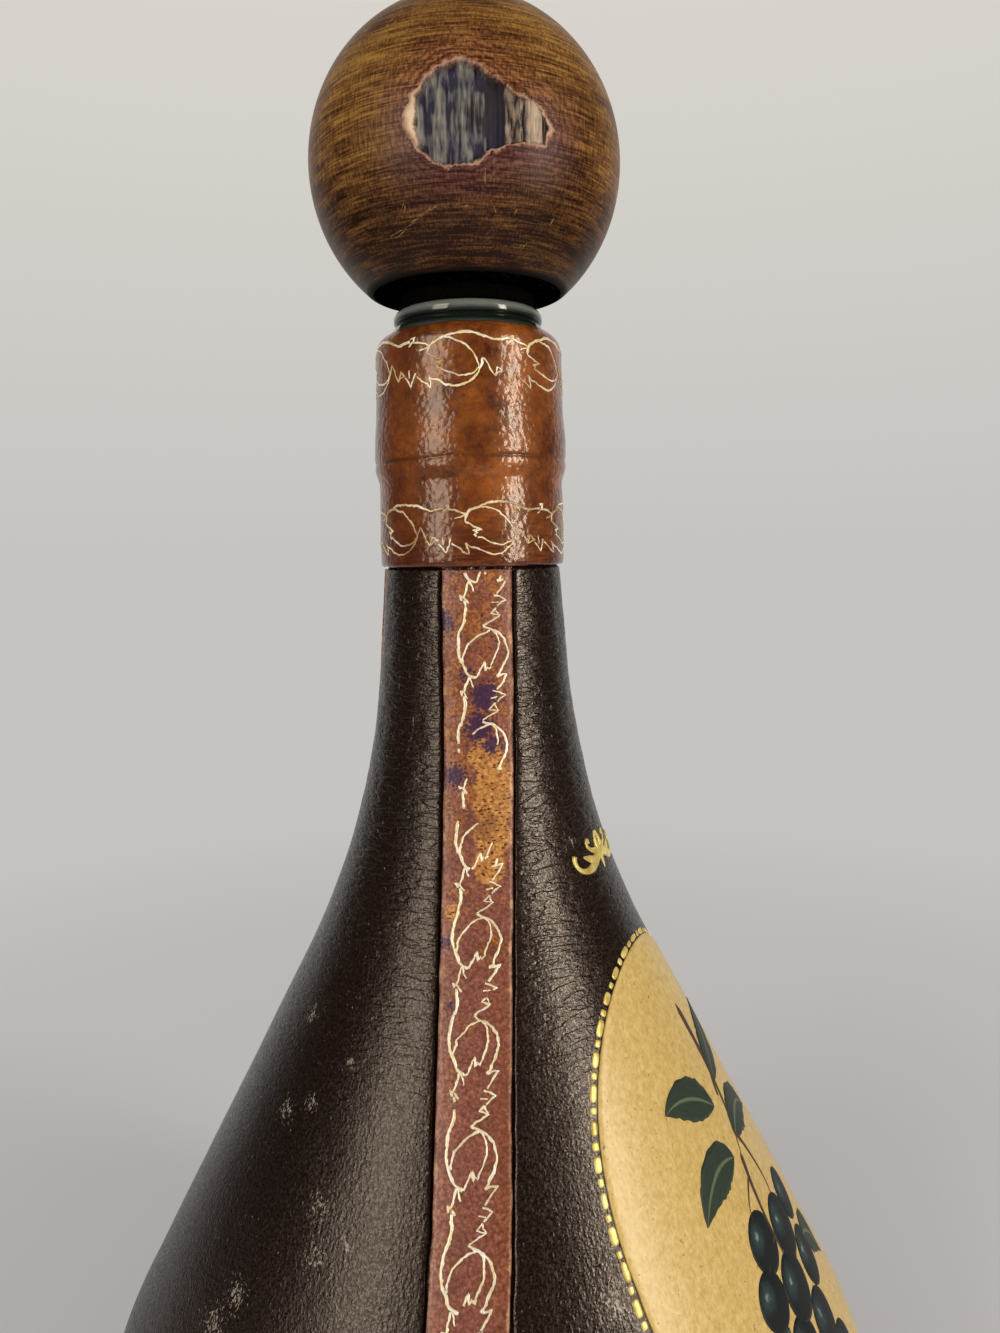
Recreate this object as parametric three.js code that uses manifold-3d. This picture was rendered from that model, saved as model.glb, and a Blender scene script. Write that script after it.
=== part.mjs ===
// A glass decanter wrapped in leather: panels, tooled straps, a neck collar and an oval medallion,
// closed by a cork that hangs on a dowel under a turned wooden ball.
// Millimetres, +Z up, origin at the middle of the base, the medallion facing -Y.
import * as THREE from 'three';
import { mergeVertices } from 'three/addons/utils/BufferGeometryUtils.js';
import Module from 'manifold-3d';

const wasm = await Module();
wasm.setup();

const radians = THREE.MathUtils.degToRad;

// Fits
const GLUE_GAP = 0.3;
const SEAM_GAP = 0.3;
const SEAT_GAP = 0.3;
const CORK_CLEARANCE = 0.25;

// Glass bottle, heights measured from its own base
const GLASS_WALL = 4.0;
const BELLY_RADIUS = 82.5;
const BELLY_HEIGHT = 41.8;
const BELLY_CURVE = 88.5;
const FOOT_RADIUS = 52.5;
const HEEL_SWEEP = radians(70);
const SHOULDER_ANGLE = radians(27.4);
const FLARE_CURVE = 159.5;
const NECK_RADIUS = 16.0;
const NECK_TAPER = radians(4.5);
const NECK_LENGTH = 18.7;
const PUNT_RADIUS = 36.0;
const PUNT_DEPTH = 12.0;
const BORE_RADIUS = 9.25;
const BORE_LENGTH = 36.0;
const LIP_RADIUS = 14.6;
const LIP_HEIGHT = 2.2;
const LIP_ROUND = 1.4;
const MOUTH_CHAMFER = 1.1;
const LIP_RISE = 4.55;
const GROOVE_RADIUS = 14.1;
const SHOULDER_DROP = 0.15;
const RING_HEIGHT = 12.5;
const RING_PROUD = 0.65;
const RING_DROP = 21.0;

// Leather covering
const LEATHER_THICKNESS = 1.2;
const SKIVE_DEPTH = 0.6;
const TURN_IN_RADIUS = 44.0;
const STRAP_WIDTH = 12.6;
const STRAP_THICKNESS = 0.9;
const STRAP_ANGLE = radians(67);
const STRAP_LEAN = radians(1.4);
const STRAP_TAPER = radians(0.3);
const COLLAR_HEIGHT = 44.6;
const COLLAR_THICKNESS = 1.1;
const COLLAR_EDGE_ROUND = 1.6;
const COLLAR_LAP = 9.0;
const COLLAR_EDGE_GAP = 0.5;
const COLLAR_SEAM = 0.4;
const MEDALLION_WIDTH = 75.8;
const MEDALLION_HEIGHT = 114.6;
const MEDALLION_RISE = 30.1;
const MEDALLION_THICKNESS = 0.5;
const DISC_RADIUS = 50.0;
const DISC_THICKNESS = 2.0;
const DISC_CHAMFER = 0.5;

// Stopper
const BALL_RADIUS = 30.0;
const BALL_FLAT_RADIUS = 19.0;
const PAD_RADIUS = 13.0;
const PAD_THICKNESS = 2.85;
const CORK_LENGTH = 28.0;
const CORK_TAPER = 0.6;
const CORK_CHAMFER = 1.0;
const DOWEL_RADIUS = 4.0;
const DOWEL_IN_BALL = 12.0;
const DOWEL_IN_CORK = 18.0;
const CHIP_RADIUS = 9.0;
const CHIP_DEPTH = 1.4;
const CHIP_ANGLE = radians(65);
const CHIP_TILT = radians(-2);

// How finely round shapes are divided
const ROUND_STEPS = 36;
const CURVE_STEPS = 4;
const OVAL_STEPS = 44;

// Leather layers as distances outside the glass
const PANEL_INSIDE = GLUE_GAP;
const PANEL_OUTSIDE = PANEL_INSIDE + LEATHER_THICKNESS;
const SKIVED_OUTSIDE = PANEL_OUTSIDE - SKIVE_DEPTH;
const STRAP_INSIDE = SKIVED_OUTSIDE + GLUE_GAP;
const STRAP_OUTSIDE = STRAP_INSIDE + STRAP_THICKNESS;
const MEDALLION_INSIDE = PANEL_OUTSIDE + GLUE_GAP;
const MEDALLION_OUTSIDE = MEDALLION_INSIDE + MEDALLION_THICKNESS;
const COLLAR_INSIDE = SKIVED_OUTSIDE + GLUE_GAP;
const COLLAR_OUTSIDE = COLLAR_INSIDE + COLLAR_THICKNESS;

// Heights that follow from the sizes, above the glass base
const coneBottomRadius = BELLY_RADIUS - BELLY_CURVE * (1 - Math.cos(SHOULDER_ANGLE));
const coneBottom = BELLY_HEIGHT + BELLY_CURVE * Math.sin(SHOULDER_ANGLE);
const flareTopRadius = NECK_RADIUS + NECK_LENGTH * Math.tan(NECK_TAPER);
const coneTopRadius = flareTopRadius + FLARE_CURVE * (Math.cos(NECK_TAPER) - Math.cos(SHOULDER_ANGLE));
const coneTop = coneBottom + (coneBottomRadius - coneTopRadius) / Math.tan(SHOULDER_ANGLE);
const flareTop = coneTop + FLARE_CURVE * (Math.sin(SHOULDER_ANGLE) - Math.sin(NECK_TAPER));
const neckTop = flareTop + NECK_LENGTH;
const collarBottom = neckTop + COLLAR_EDGE_GAP;
const collarTop = collarBottom + COLLAR_HEIGHT;
const lipTop = collarTop + LIP_RISE;
const ringMiddle = collarTop - RING_DROP;
const beyondBelly = 2 * BELLY_RADIUS;

// Steps of a curve from one value to another, both ends included
function steps(from, to, count = CURVE_STEPS) {
  return Array.from({ length: count + 1 }, (_, i) => from + (to - from) * i / count);
}

// The glass body's side from the top of the bare neck to the foot, at a distance outside the glass.
// Lines and arcs are shifted along their own normals, so layers keep an even thickness.
function bodySide(distance) {
  const heelWidth = (BELLY_RADIUS - FOOT_RADIUS) / (1 - Math.cos(HEEL_SWEEP));
  const heelHeight = BELLY_HEIGHT / Math.sin(HEEL_SWEEP);
  const side = [];
  const add = (radius, height, normalRadius, normalHeight) => {
    const length = Math.hypot(normalRadius, normalHeight);
    const shift = distance / length;
    side.push(new THREE.Vector2(radius + shift * normalRadius, height + shift * normalHeight));
  };
  add(NECK_RADIUS, neckTop, Math.cos(NECK_TAPER), Math.sin(NECK_TAPER));
  for (const angle of steps(NECK_TAPER, SHOULDER_ANGLE)) {
    const radius = flareTopRadius + FLARE_CURVE * (Math.cos(NECK_TAPER) - Math.cos(angle));
    const height = flareTop - FLARE_CURVE * (Math.sin(angle) - Math.sin(NECK_TAPER));
    add(radius, height, Math.cos(angle), Math.sin(angle));
  }
  for (const angle of steps(SHOULDER_ANGLE, 0)) {
    const radius = BELLY_RADIUS - BELLY_CURVE * (1 - Math.cos(angle));
    const height = BELLY_HEIGHT + BELLY_CURVE * Math.sin(angle);
    add(radius, height, Math.cos(angle), Math.sin(angle));
  }
  for (const angle of steps(0, HEEL_SWEEP).slice(1)) {
    const radius = BELLY_RADIUS - heelWidth * (1 - Math.cos(angle));
    const height = BELLY_HEIGHT - heelHeight * Math.sin(angle);
    add(radius, height, Math.cos(angle) / heelWidth, -Math.sin(angle) / heelHeight);
  }
  return side;
}

// The ring moulded round the glass neck, from its upper end to its lower end
function neckRing(distance) {
  return steps(0, Math.PI).map((angle) => new THREE.Vector2(
    NECK_RADIUS + distance + RING_PROUD * Math.sin(angle),
    ringMiddle + RING_HEIGHT / 2 * Math.cos(angle),
  ));
}

// A dome under or over the middle of the base, from its rim to the axis
function punt(distance) {
  return steps(0, Math.PI / 2).map((angle) => new THREE.Vector2(
    PUNT_RADIUS * Math.cos(angle),
    distance + PUNT_DEPTH * Math.sin(angle),
  ));
}

// A quarter round between two points of a profile, bulging towards the corner
function quarterRound(start, corner, end) {
  return steps(0, Math.PI / 2, CURVE_STEPS - 1).map((angle) => new THREE.Vector2(
    corner.x + (end.x - corner.x) * (1 - Math.cos(angle)) + (start.x - corner.x) * (1 - Math.sin(angle)),
    corner.y + (end.y - corner.y) * (1 - Math.cos(angle)) + (start.y - corner.y) * (1 - Math.sin(angle)),
  ));
}

// A closed solid from any three.js shape, with shared corners merged and faces turned outwards
function solid(geometry) {
  const bare = geometry.clone();
  bare.deleteAttribute('normal');
  bare.deleteAttribute('uv');
  const merged = mergeVertices(bare);
  const place = merged.getAttribute('position');
  const corner = (i) => new THREE.Vector3().fromBufferAttribute(place, i);
  const source = merged.index.array;
  const triangles = [];
  let volume = 0;
  for (let i = 0; i < source.length; i += 3) {
    const [a, b, c] = [source[i], source[i + 1], source[i + 2]];
    if (a !== b && b !== c && c !== a) {
      triangles.push(a, b, c);
      volume += corner(a).dot(corner(b).cross(corner(c)));
    }
  }
  if (volume < 0) {
    triangles.reverse();
  }
  return new wasm.Manifold(new wasm.Mesh({
    numProp: 3,
    vertProperties: new Float32Array(place.array),
    triVerts: new Uint32Array(triangles),
  }));
}

// A solid turned about the upright axis from points given as radius and height
function turned(points) {
  const geometry = new THREE.LatheGeometry(points, ROUND_STEPS);
  return solid(geometry.rotateX(Math.PI / 2));
}

// A hollow turned solid, whose profile closes on itself
function turnedRing(points) {
  return turned([...points, points[0]]);
}

// An upright slab that reaches out from the axis, leaning about its own outward direction
function slab(inner, outer, left, right, angle, lean) {
  const tall = 2 * (lipTop + BELLY_RADIUS);
  const box = new THREE.BoxGeometry(outer - inner, right - left, tall);
  box.translate((inner + outer) / 2, (left + right) / 2, 0);
  box.rotateX(lean);
  box.translate(0, 0, coneTop);
  box.rotateZ(angle - Math.PI / 2);
  return solid(box);
}

// A named mesh of a finished solid
function piece(name, body, material) {
  const { vertProperties, triVerts } = body.getMesh();
  const geometry = new THREE.BufferGeometry();
  geometry.setAttribute('position', new THREE.BufferAttribute(new Float32Array(vertProperties), 3));
  geometry.setIndex(new THREE.BufferAttribute(new Uint32Array(triVerts), 1));
  geometry.computeVertexNormals();
  const mesh = new THREE.Mesh(geometry, material);
  mesh.name = name;
  return mesh;
}

function finish(color, roughness, metalness = 0) {
  return new THREE.MeshStandardMaterial({ color, roughness, metalness });
}

// Blown glass bottle: flat foot ring, punt, flared shoulder, thick neck with a ring and a beaded lip
function glassBottle() {
  const mouthEdge = lipTop - LIP_HEIGHT;
  const shoulderEdge = collarTop - SHOULDER_DROP;
  const lip = [
    new THREE.Vector2(BORE_RADIUS, lipTop - MOUTH_CHAMFER),
    new THREE.Vector2(BORE_RADIUS + MOUTH_CHAMFER, lipTop),
    ...quarterRound(
      new THREE.Vector2(LIP_RADIUS - LIP_ROUND, lipTop),
      new THREE.Vector2(LIP_RADIUS, lipTop),
      new THREE.Vector2(LIP_RADIUS, lipTop - LIP_HEIGHT / 2),
    ),
    new THREE.Vector2(GROOVE_RADIUS, mouthEdge),
    new THREE.Vector2((GROOVE_RADIUS + NECK_RADIUS) / 2, (mouthEdge + shoulderEdge) / 2),
    new THREE.Vector2(NECK_RADIUS, shoulderEdge),
  ];
  const inside = bodySide(-GLASS_WALL).reverse();
  return turned([
    ...punt(GLASS_WALL).reverse(),
    new THREE.Vector2(FOOT_RADIUS - GLASS_WALL, GLASS_WALL),
    ...inside.slice(1),
    new THREE.Vector2(BORE_RADIUS, lipTop - BORE_LENGTH),
    ...lip,
    ...neckRing(0),
    ...bodySide(0),
    ...punt(0),
  ]);
}

// One layer of leather round the whole body, between two distances outside the glass
function bodyLayer(inside, outside) {
  return turnedRing([...bodySide(outside), ...bodySide(inside).reverse()]);
}

// The leather before it is cut into panels: thinned where the collar laps it, turned in under the base
function panelSleeve() {
  const lapTop = neckTop + COLLAR_LAP;
  const underside = (distance) => [
    new THREE.Vector2(FOOT_RADIUS, -distance),
    new THREE.Vector2(TURN_IN_RADIUS, -distance),
  ];
  return turnedRing([
    new THREE.Vector2(NECK_RADIUS + SKIVED_OUTSIDE, lapTop),
    new THREE.Vector2(NECK_RADIUS + SKIVED_OUTSIDE, neckTop + COLLAR_EDGE_GAP / 2),
    ...bodySide(PANEL_OUTSIDE),
    ...underside(PANEL_OUTSIDE),
    ...underside(PANEL_INSIDE).reverse(),
    ...bodySide(PANEL_INSIDE).reverse(),
    new THREE.Vector2(NECK_RADIUS + PANEL_INSIDE, lapTop),
  ]);
}

// The three straps: outward direction and lean. The side pair leans away from the front as it goes down,
// and each strap widens a little on the way.
const straps = {
  left_strap: { angle: -STRAP_ANGLE, lean: -STRAP_LEAN },
  right_strap: { angle: STRAP_ANGLE, lean: STRAP_LEAN },
  rear_strap: { angle: Math.PI, lean: 0 },
};

function strapSlab({ angle, lean }, extra) {
  const half = STRAP_WIDTH / 2 + extra;
  const rightOfLeftEdge = slab(0, beyondBelly, -half, beyondBelly, angle, lean - STRAP_TAPER);
  const leftOfRightEdge = slab(0, beyondBelly, -beyondBelly, half, angle, lean + STRAP_TAPER);
  return rightOfLeftEdge.intersect(leftOfRightEdge);
}

// Everything on one side of the seam that runs under a strap
function besideSeam({ angle, lean }, side) {
  const near = side * SEAM_GAP / 2;
  const far = side * beyondBelly;
  return slab(-beyondBelly, beyondBelly, Math.min(near, far), Math.max(near, far), angle, lean);
}

// A body panel between two seams, with its edges thinned where the straps lie over them
function panel(sleeve, thinned, from, to) {
  return sleeve
    .intersect(besideSeam(straps[from], 1))
    .intersect(besideSeam(straps[to], -1))
    .subtract(thinned);
}

// Neck collar: a leather band lapped over the panels and pressed over the glass ring, butted at the back
function neckCollar() {
  const lapTop = neckTop + COLLAR_LAP + GLUE_GAP;
  const lapRadius = NECK_RADIUS + COLLAR_INSIDE;
  const outerRadius = NECK_RADIUS + COLLAR_OUTSIDE;
  const innerRadius = NECK_RADIUS + GLUE_GAP;
  const round = COLLAR_EDGE_ROUND;
  const band = turnedRing([
    ...quarterRound(
      new THREE.Vector2(outerRadius - round, collarTop),
      new THREE.Vector2(outerRadius, collarTop),
      new THREE.Vector2(outerRadius, collarTop - round),
    ),
    ...neckRing(COLLAR_OUTSIDE),
    ...quarterRound(
      new THREE.Vector2(outerRadius, collarBottom + COLLAR_THICKNESS / 2),
      new THREE.Vector2(outerRadius, collarBottom),
      new THREE.Vector2(lapRadius, collarBottom),
    ),
    new THREE.Vector2(lapRadius, lapTop),
    new THREE.Vector2(innerRadius, lapTop),
    ...neckRing(GLUE_GAP).reverse(),
    new THREE.Vector2(innerRadius, collarTop - round),
  ]);
  const seam = slab(0, beyondBelly, -COLLAR_SEAM / 2, COLLAR_SEAM / 2, Math.PI, 0);
  return band.subtract(seam);
}

// Oval medallion: a thin onlay that follows the front of the body
function frontMedallion() {
  const oval = new THREE.Shape();
  oval.absellipse(0, 0, MEDALLION_WIDTH / 2, MEDALLION_HEIGHT / 2, 0, 2 * Math.PI);
  const depth = BELLY_RADIUS;
  const prism = new THREE.ExtrudeGeometry(oval, { depth, bevelEnabled: false, curveSegments: OVAL_STEPS });
  const slope = new THREE.Vector3(0, Math.sin(SHOULDER_ANGLE), Math.cos(SHOULDER_ANGLE));
  const across = new THREE.Vector3(1, 0, 0);
  const outward = new THREE.Vector3().crossVectors(across, slope);
  const middle = new THREE.Vector3(0, -coneBottomRadius, coneBottom)
    .addScaledVector(slope, MEDALLION_RISE)
    .addScaledVector(outward, MEDALLION_OUTSIDE - depth / 2);
  prism.applyMatrix4(new THREE.Matrix4().makeBasis(across, slope, outward).setPosition(middle));
  return bodyLayer(MEDALLION_INSIDE, MEDALLION_OUTSIDE).intersect(solid(prism));
}

// Base disc, from the surface the bottle stands on up to the turned-in leather
function baseDisc() {
  return turned([
    new THREE.Vector2(0, 0),
    new THREE.Vector2(DISC_RADIUS - DISC_CHAMFER, 0),
    new THREE.Vector2(DISC_RADIUS, DISC_CHAMFER),
    new THREE.Vector2(DISC_RADIUS, DISC_THICKNESS),
    new THREE.Vector2(0, DISC_THICKNESS),
  ]);
}

// Wooden ball with a flat underside, a blind hole for the dowel and a shallow chipped patch,
// heights measured from the flat
function stopperBall() {
  const middle = Math.sqrt(BALL_RADIUS ** 2 - BALL_FLAT_RADIUS ** 2);
  const start = Math.asin(-middle / BALL_RADIUS);
  const holeRadius = DOWEL_RADIUS + GLUE_GAP;
  const holeDepth = DOWEL_IN_BALL + GLUE_GAP;
  const side = steps(start, Math.PI / 2, 3 * CURVE_STEPS).map((angle) => new THREE.Vector2(
    BALL_RADIUS * Math.cos(angle),
    middle + BALL_RADIUS * Math.sin(angle),
  ));
  side[side.length - 1].x = 0;
  const ball = turned([
    new THREE.Vector2(0, holeDepth),
    new THREE.Vector2(holeRadius, holeDepth),
    new THREE.Vector2(holeRadius, 0),
    ...side,
  ]);
  const scoopRadius = (CHIP_RADIUS ** 2 + CHIP_DEPTH ** 2) / (2 * CHIP_DEPTH);
  const capDrop = BALL_RADIUS - Math.sqrt(BALL_RADIUS ** 2 - CHIP_RADIUS ** 2);
  const scoop = new THREE.SphereGeometry(scoopRadius, ROUND_STEPS, ROUND_STEPS / 2);
  scoop.rotateX(Math.PI / 2);
  scoop.translate(BALL_RADIUS - capDrop - CHIP_DEPTH + scoopRadius, 0, 0);
  scoop.rotateY(-CHIP_TILT);
  scoop.rotateZ(-CHIP_ANGLE - Math.PI / 2);
  scoop.translate(0, 0, middle);
  return ball.subtract(solid(scoop));
}

// Thick washer under the ball, which seats on the glass lip
function stopperPad() {
  const holeRadius = BORE_RADIUS - CORK_CLEARANCE + GLUE_GAP;
  return turnedRing([
    new THREE.Vector2(holeRadius, -GLUE_GAP),
    new THREE.Vector2(holeRadius, -GLUE_GAP - PAD_THICKNESS),
    new THREE.Vector2(PAD_RADIUS, -GLUE_GAP - PAD_THICKNESS),
    new THREE.Vector2(PAD_RADIUS, -GLUE_GAP),
  ]);
}

// Tapered cork, bored from above for the dowel
function stopperCork() {
  const top = -GLUE_GAP;
  const bottom = top - CORK_LENGTH;
  const radius = BORE_RADIUS - CORK_CLEARANCE;
  const holeRadius = DOWEL_RADIUS + GLUE_GAP;
  const holeBottom = -DOWEL_IN_CORK - GLUE_GAP;
  return turned([
    new THREE.Vector2(0, bottom),
    new THREE.Vector2(radius - CORK_TAPER - CORK_CHAMFER, bottom),
    new THREE.Vector2(radius - CORK_TAPER, bottom + CORK_CHAMFER),
    new THREE.Vector2(radius, top),
    new THREE.Vector2(holeRadius, top),
    new THREE.Vector2(holeRadius, holeBottom),
    new THREE.Vector2(0, holeBottom),
  ]);
}

// Dowel glued into the ball above and the cork below
function stopperDowel() {
  return turned([
    new THREE.Vector2(0, -DOWEL_IN_CORK),
    new THREE.Vector2(DOWEL_RADIUS, -DOWEL_IN_CORK),
    new THREE.Vector2(DOWEL_RADIUS, DOWEL_IN_BALL),
    new THREE.Vector2(0, DOWEL_IN_BALL),
  ]);
}

// Assembly. The bottle's base lies above the disc and the turned-in leather.
const bottle = new THREE.Group();
bottle.position.z = DISC_THICKNESS + GLUE_GAP + PANEL_OUTSIDE;
bottle.add(piece('glass_bottle', glassBottle(), finish(0x8f9a86, 0.08)));

const sleeve = panelSleeve();
const skivings = bodyLayer(SKIVED_OUTSIDE, STRAP_OUTSIDE + LEATHER_THICKNESS);
const thinned = Object.values(straps)
  .map((strap) => skivings.intersect(strapSlab(strap, SEAM_GAP)))
  .reduce((all, groove) => all.add(groove));
const panels = {
  front_panel: ['left_strap', 'right_strap'],
  right_rear_panel: ['right_strap', 'rear_strap'],
  left_rear_panel: ['rear_strap', 'left_strap'],
};
for (const [name, [from, to]] of Object.entries(panels)) {
  bottle.add(piece(name, panel(sleeve, thinned, from, to), finish(0x2b1f18, 0.42)));
}

const strapLayer = bodyLayer(STRAP_INSIDE, STRAP_OUTSIDE);
for (const [name, strap] of Object.entries(straps)) {
  bottle.add(piece(name, strapLayer.intersect(strapSlab(strap, 0)), finish(0x8d5035, 0.45)));
}
bottle.add(piece('neck_collar', neckCollar(), finish(0x8b4a1c, 0.35)));
bottle.add(piece('front_medallion', frontMedallion(), finish(0xd3b873, 0.4)));

const stopper = new THREE.Group();
stopper.position.z = bottle.position.z + lipTop + SEAT_GAP + PAD_THICKNESS + GLUE_GAP;
stopper.add(piece('stopper_ball', stopperBall(), finish(0x6b4a26, 0.35)));
stopper.add(piece('stopper_pad', stopperPad(), finish(0x14110f, 0.7)));
stopper.add(piece('stopper_cork', stopperCork(), finish(0xb98f5e, 0.85)));
stopper.add(piece('stopper_dowel', stopperDowel(), finish(0xc9a877, 0.7)));

const decanter = new THREE.Group();
decanter.add(piece('base_disc', baseDisc(), finish(0x2a2420, 0.9)));
decanter.add(bottle);
decanter.add(stopper);

export default decanter;
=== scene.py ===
# A leather-wrapped glass decanter with a wooden ball stopper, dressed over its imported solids. Metres, +Z
# up, the medallion facing -Y. The sections follow the order in which the decanter is put together.
import math
import random

import bmesh
import bpy
import numpy as np
from mathutils import Matrix, Vector, noise


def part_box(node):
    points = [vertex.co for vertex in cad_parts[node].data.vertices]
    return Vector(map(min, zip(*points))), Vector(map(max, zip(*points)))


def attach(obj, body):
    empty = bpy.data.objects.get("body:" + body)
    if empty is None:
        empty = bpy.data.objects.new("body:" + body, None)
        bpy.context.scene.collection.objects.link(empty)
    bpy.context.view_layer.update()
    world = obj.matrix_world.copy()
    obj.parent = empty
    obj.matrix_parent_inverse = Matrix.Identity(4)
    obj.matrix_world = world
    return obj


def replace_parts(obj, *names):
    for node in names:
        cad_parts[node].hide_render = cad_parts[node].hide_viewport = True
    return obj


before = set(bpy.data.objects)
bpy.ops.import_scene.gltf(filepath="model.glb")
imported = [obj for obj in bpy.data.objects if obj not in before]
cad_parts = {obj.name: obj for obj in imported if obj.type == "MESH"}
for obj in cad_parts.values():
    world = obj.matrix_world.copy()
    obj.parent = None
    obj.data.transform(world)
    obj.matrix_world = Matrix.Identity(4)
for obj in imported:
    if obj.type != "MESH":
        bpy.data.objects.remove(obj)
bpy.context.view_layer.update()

# Glass bottle
# One blown piece of grey-green glass with a flat foot, a punt pushed up into it, a flared shoulder and a
# thick neck with a moulded ring. Leather is glued over all of it but the beaded lip under the stopper.
MM = 0.001
glass_low, glass_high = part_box("glass_bottle")
collar_low, collar_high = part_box("neck_collar")
foot_height = glass_low.z
lip_top = glass_high.z
belly_radius = glass_high.x
belly_height = foot_height + 41.8 * MM
belly_curve = 88.5 * MM
foot_radius = 52.5 * MM
heel_sweep = math.radians(70)
shoulder_angle = math.radians(27.4)
flare_curve = 159.5 * MM
neck_radius = 16.0 * MM
neck_taper = math.radians(4.5)
neck_length = 18.7 * MM
glass_wall = 4.0 * MM
punt_radius = 36.0 * MM
punt_depth = 12.0 * MM
bore_radius = 9.25 * MM
bore_length = 36.0 * MM
mouth_chamfer = 1.1 * MM
lip_radius = 14.6 * MM
lip_round = 1.3 * MM
lip_height = 2.4 * MM
groove_radius = 14.0 * MM
shoulder_drop = 0.15 * MM
ring_drop = 21.0 * MM
ring_height = 12.5 * MM
ring_proud = 0.65 * MM
turn_in_radius = 44.0 * MM
collar_lap = 9.0 * MM
flare_bend = 0.8
weld = 0.001 * MM

cone_bottom_radius = belly_radius - belly_curve * (1 - math.cos(shoulder_angle))
cone_bottom = belly_height + belly_curve * math.sin(shoulder_angle)
flare_top_radius = neck_radius + neck_length * math.tan(neck_taper)
cone_top_radius = flare_top_radius + flare_curve * (math.cos(neck_taper) - math.cos(shoulder_angle))
cone_top = cone_bottom + (cone_bottom_radius - cone_top_radius) / math.tan(shoulder_angle)
flare_top = cone_top + flare_curve * (math.sin(shoulder_angle) - math.sin(neck_taper))
neck_top = flare_top + neck_length


def body_line(arc_steps=40):
    """Radius, height and outward direction of the glass, from under the collar down to the foot."""
    line = [(neck_radius, neck_top + collar_lap, 1.0, 0.0)]
    line.append((neck_radius, neck_top, math.cos(neck_taper), math.sin(neck_taper)))
    for angle in np.linspace(neck_taper, shoulder_angle, arc_steps):
        radius = flare_top_radius + flare_curve * (math.cos(neck_taper) - math.cos(angle))
        height = flare_top - flare_curve * (math.sin(angle) - math.sin(neck_taper))
        line.append((radius, height, math.cos(angle), math.sin(angle)))
    for angle in np.linspace(shoulder_angle, 0.0, arc_steps):
        radius = belly_radius - belly_curve * (1 - math.cos(angle))
        line.append((radius, belly_height + belly_curve * math.sin(angle), math.cos(angle), math.sin(angle)))
    heel_width = (belly_radius - foot_radius) / (1 - math.cos(heel_sweep))
    heel_height = (belly_height - foot_height) / math.sin(heel_sweep)
    for angle in np.linspace(0.0, heel_sweep, arc_steps)[1:]:
        outward = Vector((math.cos(angle) / heel_width, -math.sin(angle) / heel_height)).normalized()
        radius = belly_radius - heel_width * (1 - math.cos(angle))
        line.append((radius, belly_height - heel_height * math.sin(angle), outward.x, outward.y))
    return np.array(line)


def rounding(radius, height, wide, tall, angles):
    """Part of an oval as radii and heights, from its middle, its half sizes and angles from its top."""
    return [(radius + wide * math.sin(angle), height + tall * math.cos(angle)) for angle in angles]


def turned(outline, steps=128):
    """A shape turned about the upright axis from points given as radius and height."""
    bm = bmesh.new()
    points = [bm.verts.new((radius, 0.0, height)) for radius, height in outline]
    edges = [bm.edges.new(pair) for pair in zip(points, points[1:])]
    bmesh.ops.spin(bm, geom=points + edges, axis=(0, 0, 1), cent=(0, 0, 0), angle=math.tau,
                   steps=steps, use_merge=True)
    bmesh.ops.remove_doubles(bm, verts=bm.verts, dist=weld)
    bmesh.ops.recalc_face_normals(bm, faces=bm.faces)
    return bm


def piece(name, bm, material, sharp=math.pi):
    """A finished object from a mesh in its place, smooth except at edges sharper than an angle."""
    mesh = bpy.data.meshes.new(name)
    bm.to_mesh(mesh)
    bm.free()
    mesh.shade_smooth()
    mesh.set_sharp_from_angle(angle=sharp)
    mesh.materials.append(material)
    made = bpy.data.objects.new(name, mesh)
    bpy.context.scene.collection.objects.link(made)
    return made


def colour(hex_value):
    """An sRGB hex colour as linear red, green, blue and alpha."""
    parts = [int(hex_value[i:i + 2], 16) / 255 for i in (1, 3, 5)]
    linear = [part / 12.92 if part <= 0.04045 else ((part + 0.055) / 1.055) ** 2.4 for part in parts]
    return (*linear, 1.0)


def feed(node, inputs):
    """Gives a node's inputs values, hex colours or other nodes' results: their Fac, or else the first."""
    for key, value in inputs.items():
        socket = node.inputs[key]
        if isinstance(value, bpy.types.Node):
            value = value.outputs.get("Fac") or next(result for result in value.outputs if result.enabled)
        if isinstance(value, bpy.types.NodeSocket):
            node.id_data.links.new(value, socket)
        else:
            socket.default_value = colour(value) if isinstance(value, str) else value


def finish(name, inputs):
    """A material with its shader's plain values set: the material, its nodes and the shader."""
    material = bpy.data.materials.new(name)
    material.use_nodes = True
    shader = material.node_tree.nodes["Principled BSDF"]
    feed(shader, inputs)
    return material, material.node_tree, shader


def add(tree, kind, *inputs, **named):
    """A node: inputs in the order of its sockets or by name, and settings by their lower-case names."""
    node = tree.nodes.new("ShaderNode" + kind)
    for name in filter(str.islower, named):
        setattr(node, name, named[name])
    in_use = [order for order, socket in enumerate(node.inputs) if socket.enabled]
    feed(node, dict(zip(in_use, inputs)))
    feed(node, {name: value for name, value in named.items() if not name.islower()})
    return node


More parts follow.
